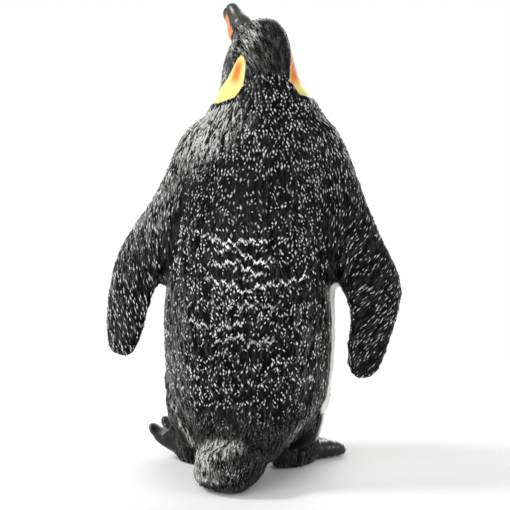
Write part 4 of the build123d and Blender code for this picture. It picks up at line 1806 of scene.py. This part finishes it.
@dataclass
class Studio:
    """Floor, soft light and camera."""

    azimuth: float = 185.0
    elevation: float = 11.0
    distance: float = 450 * MM
    lens: float = 162.9
    sensor: float = 36.0
    aim: Triple = (-0.692 * MM, -1.438 * MM, 43.0 * MM)
    ambient: float = 0.25
    floor_reach: float = 3.0
    floor_fade: Pair = (0.04, 0.12)

    WHITE = (1.0, 1.0, 1.0, 1.0)
    LAMPS = (
        ("key", (0.6, 0.05, 0.65), 0.2, 4.0),
        ("fill", (0.35, 0.9, 0.35), 1.2, 12.0),
        ("right", (-0.7, 0.25, 0.35), 0.5, 2.0),
        ("front", (-0.1, -0.7, 0.4), 0.7, 4.0),
    )

    def stand(self, data: bpy.types.ID, place: Vector, towards: Vector) -> Object:
        """Stands a camera or a lamp in the studio.

        Args:
            data: The camera or the lamp.
            place: Where it stands, in metres.
            towards: Where it points.

        Returns:
            Its object.
        """
        made = bpy.data.objects.new(data.name, data)
        made.location = place
        made.rotation_mode = "QUATERNION"
        made.rotation_quaternion = towards.to_track_quat("-Z", "Y")
        bpy.context.scene.collection.objects.link(made)
        return made

    def camera(self) -> None:
        """Makes the camera at the photograph's angle."""
        turn, rise = math.radians(self.azimuth), math.radians(self.elevation)
        back = Vector((math.sin(turn) * math.cos(rise), -math.cos(turn) * math.cos(rise), math.sin(rise)))
        data = bpy.data.cameras.new("camera")
        data.lens = self.lens
        data.sensor_width = self.sensor
        data.clip_start = 0.01
        data.clip_end = 20.0
        bpy.context.scene.camera = self.stand(data, Vector(self.aim) + back * self.distance, -back)

    def lamp(self, name: str, place: Triple, size: float, power: float) -> None:
        """Adds a soft lamp that points at the figure.

        Args:
            name: The lamp's name.
            place: Where it stands, in metres.
            size: Side of its panel, in metres.
            power: Its power, in watts.
        """
        data = bpy.data.lights.new(name, "AREA")
        data.size = size
        data.energy = power
        self.stand(data, Vector(place), Vector(self.aim) - Vector(place))

    def seen(self, graph: Graph) -> Socket:
        """1 where a surface is seen, straight or in a reflection, and 0 where it only gives light."""
        path = graph.add("ShaderNodeLightPath").outputs
        seen = graph.math("MAXIMUM", path["Is Camera Ray"], path["Is Glossy Ray"])
        return graph.math("MAXIMUM", seen, path["Is Transmission Ray"])

    def world(self) -> None:
        """Lights the scene evenly and shows white behind it."""
        made = bpy.data.worlds.new("studio")
        made.use_nodes = True
        graph = Graph(made.node_tree)
        limits = {"Value": self.seen(graph), "To Min": self.ambient, "To Max": 1.0}
        strength = graph.add("ShaderNodeMapRange", limits).outputs["Result"]
        back = made.node_tree.nodes["Background"]
        graph.feed(back.inputs["Color"], self.WHITE)
        graph.feed(back.inputs["Strength"], strength)
        bpy.context.scene.world = made

    def floor(self) -> None:
        """Pale floor that fades to the white behind it."""
        mesh = bpy.data.meshes.new("floor")
        reach = self.floor_reach
        corners = [(-reach, -reach, 0), (reach, -reach, 0), (reach, reach, 0), (-reach, reach, 0)]
        mesh.from_pydata(corners, [], [(0, 1, 2, 3)])
        made = new_object("floor", mesh)
        material = bpy.data.materials.new("floor")
        material.use_nodes = True
        graph = Graph(material.node_tree)
        nodes = material.node_tree.nodes
        shader = nodes["Principled BSDF"]
        look = {"Base Color": (0.9, 0.9, 0.9, 1.0), "Roughness": 0.8, "Specular IOR Level": 0.2}
        for name, value in look.items():
            graph.feed(shader.inputs[name], value)
        place = graph.add("ShaderNodeTexCoord").outputs["Object"]
        spread = graph.add("ShaderNodeVectorMath", {0: place}, operation="LENGTH").outputs["Value"]
        far = graph.math("MULTIPLY", graph.ramp(spread, *self.floor_fade), self.seen(graph))
        glow = graph.add("ShaderNodeEmission", {"Color": self.WHITE, "Strength": 1.0})
        mix = graph.add("ShaderNodeMixShader", {0: far, 1: shader.outputs[0], 2: glow.outputs[0]})
        graph.feed(nodes["Material Output"].inputs["Surface"], mix.outputs[0])
        mesh.materials.append(material)

    def build(self) -> None:
        """Sets up the whole studio."""
        self.camera()
        self.world()
        self.floor()
        for lamp in self.LAMPS:
            self.lamp(*lamp)
        bpy.context.scene.view_settings.view_transform = "Standard"


SLOTS = {
    **dict.fromkeys(("back_shell", "head", "left_flipper", "right_flipper", "tail"), "black_plumage"),
    **dict.fromkeys(("left_leg", "right_leg"), "black_plumage"),
    **dict.fromkeys(("left_eye", "right_eye"), "eye"),
    **dict.fromkeys(("left_foot", "right_foot"), "foot"),
    "belly_shell": "white_plumage",
    "bill": "bill",
}


def main() -> None:
    """Builds the figure's pieces in order, then the studio."""
    logging.basicConfig(level=logging.INFO, format="%(message)s")
    figure = Figure()
    coat = PLUMAGE.material()
    left_leg = Leg(figure, Side.LEFT, out_shift=1.2, heading=52.0, lift=28.0, shin_edge=-0.25, pad=2.4)
    right_leg = Leg(figure, Side.RIGHT, out_shift=-0.7, heading=32.0, lift=0.0, shin_edge=0.32)
    pieces = Plumage(figure).build(coat)
    pieces["bill"] = Bill(figure).build()
    for side in Side:
        pieces[f"{side.label}_eye"] = Eye(side).build()
    for leg in (left_leg, right_leg):
        pieces.update(leg.build(coat))
    for node, piece in pieces.items():
        settle(piece.data)
        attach(piece, "root")
        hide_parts(node)
        triangles = sum(len(face.vertices) - 2 for face in piece.data.polygons)
        log.info("%s: %d triangles", piece.name, triangles)
    Studio().build()


if __name__ == "__main__":
    main()
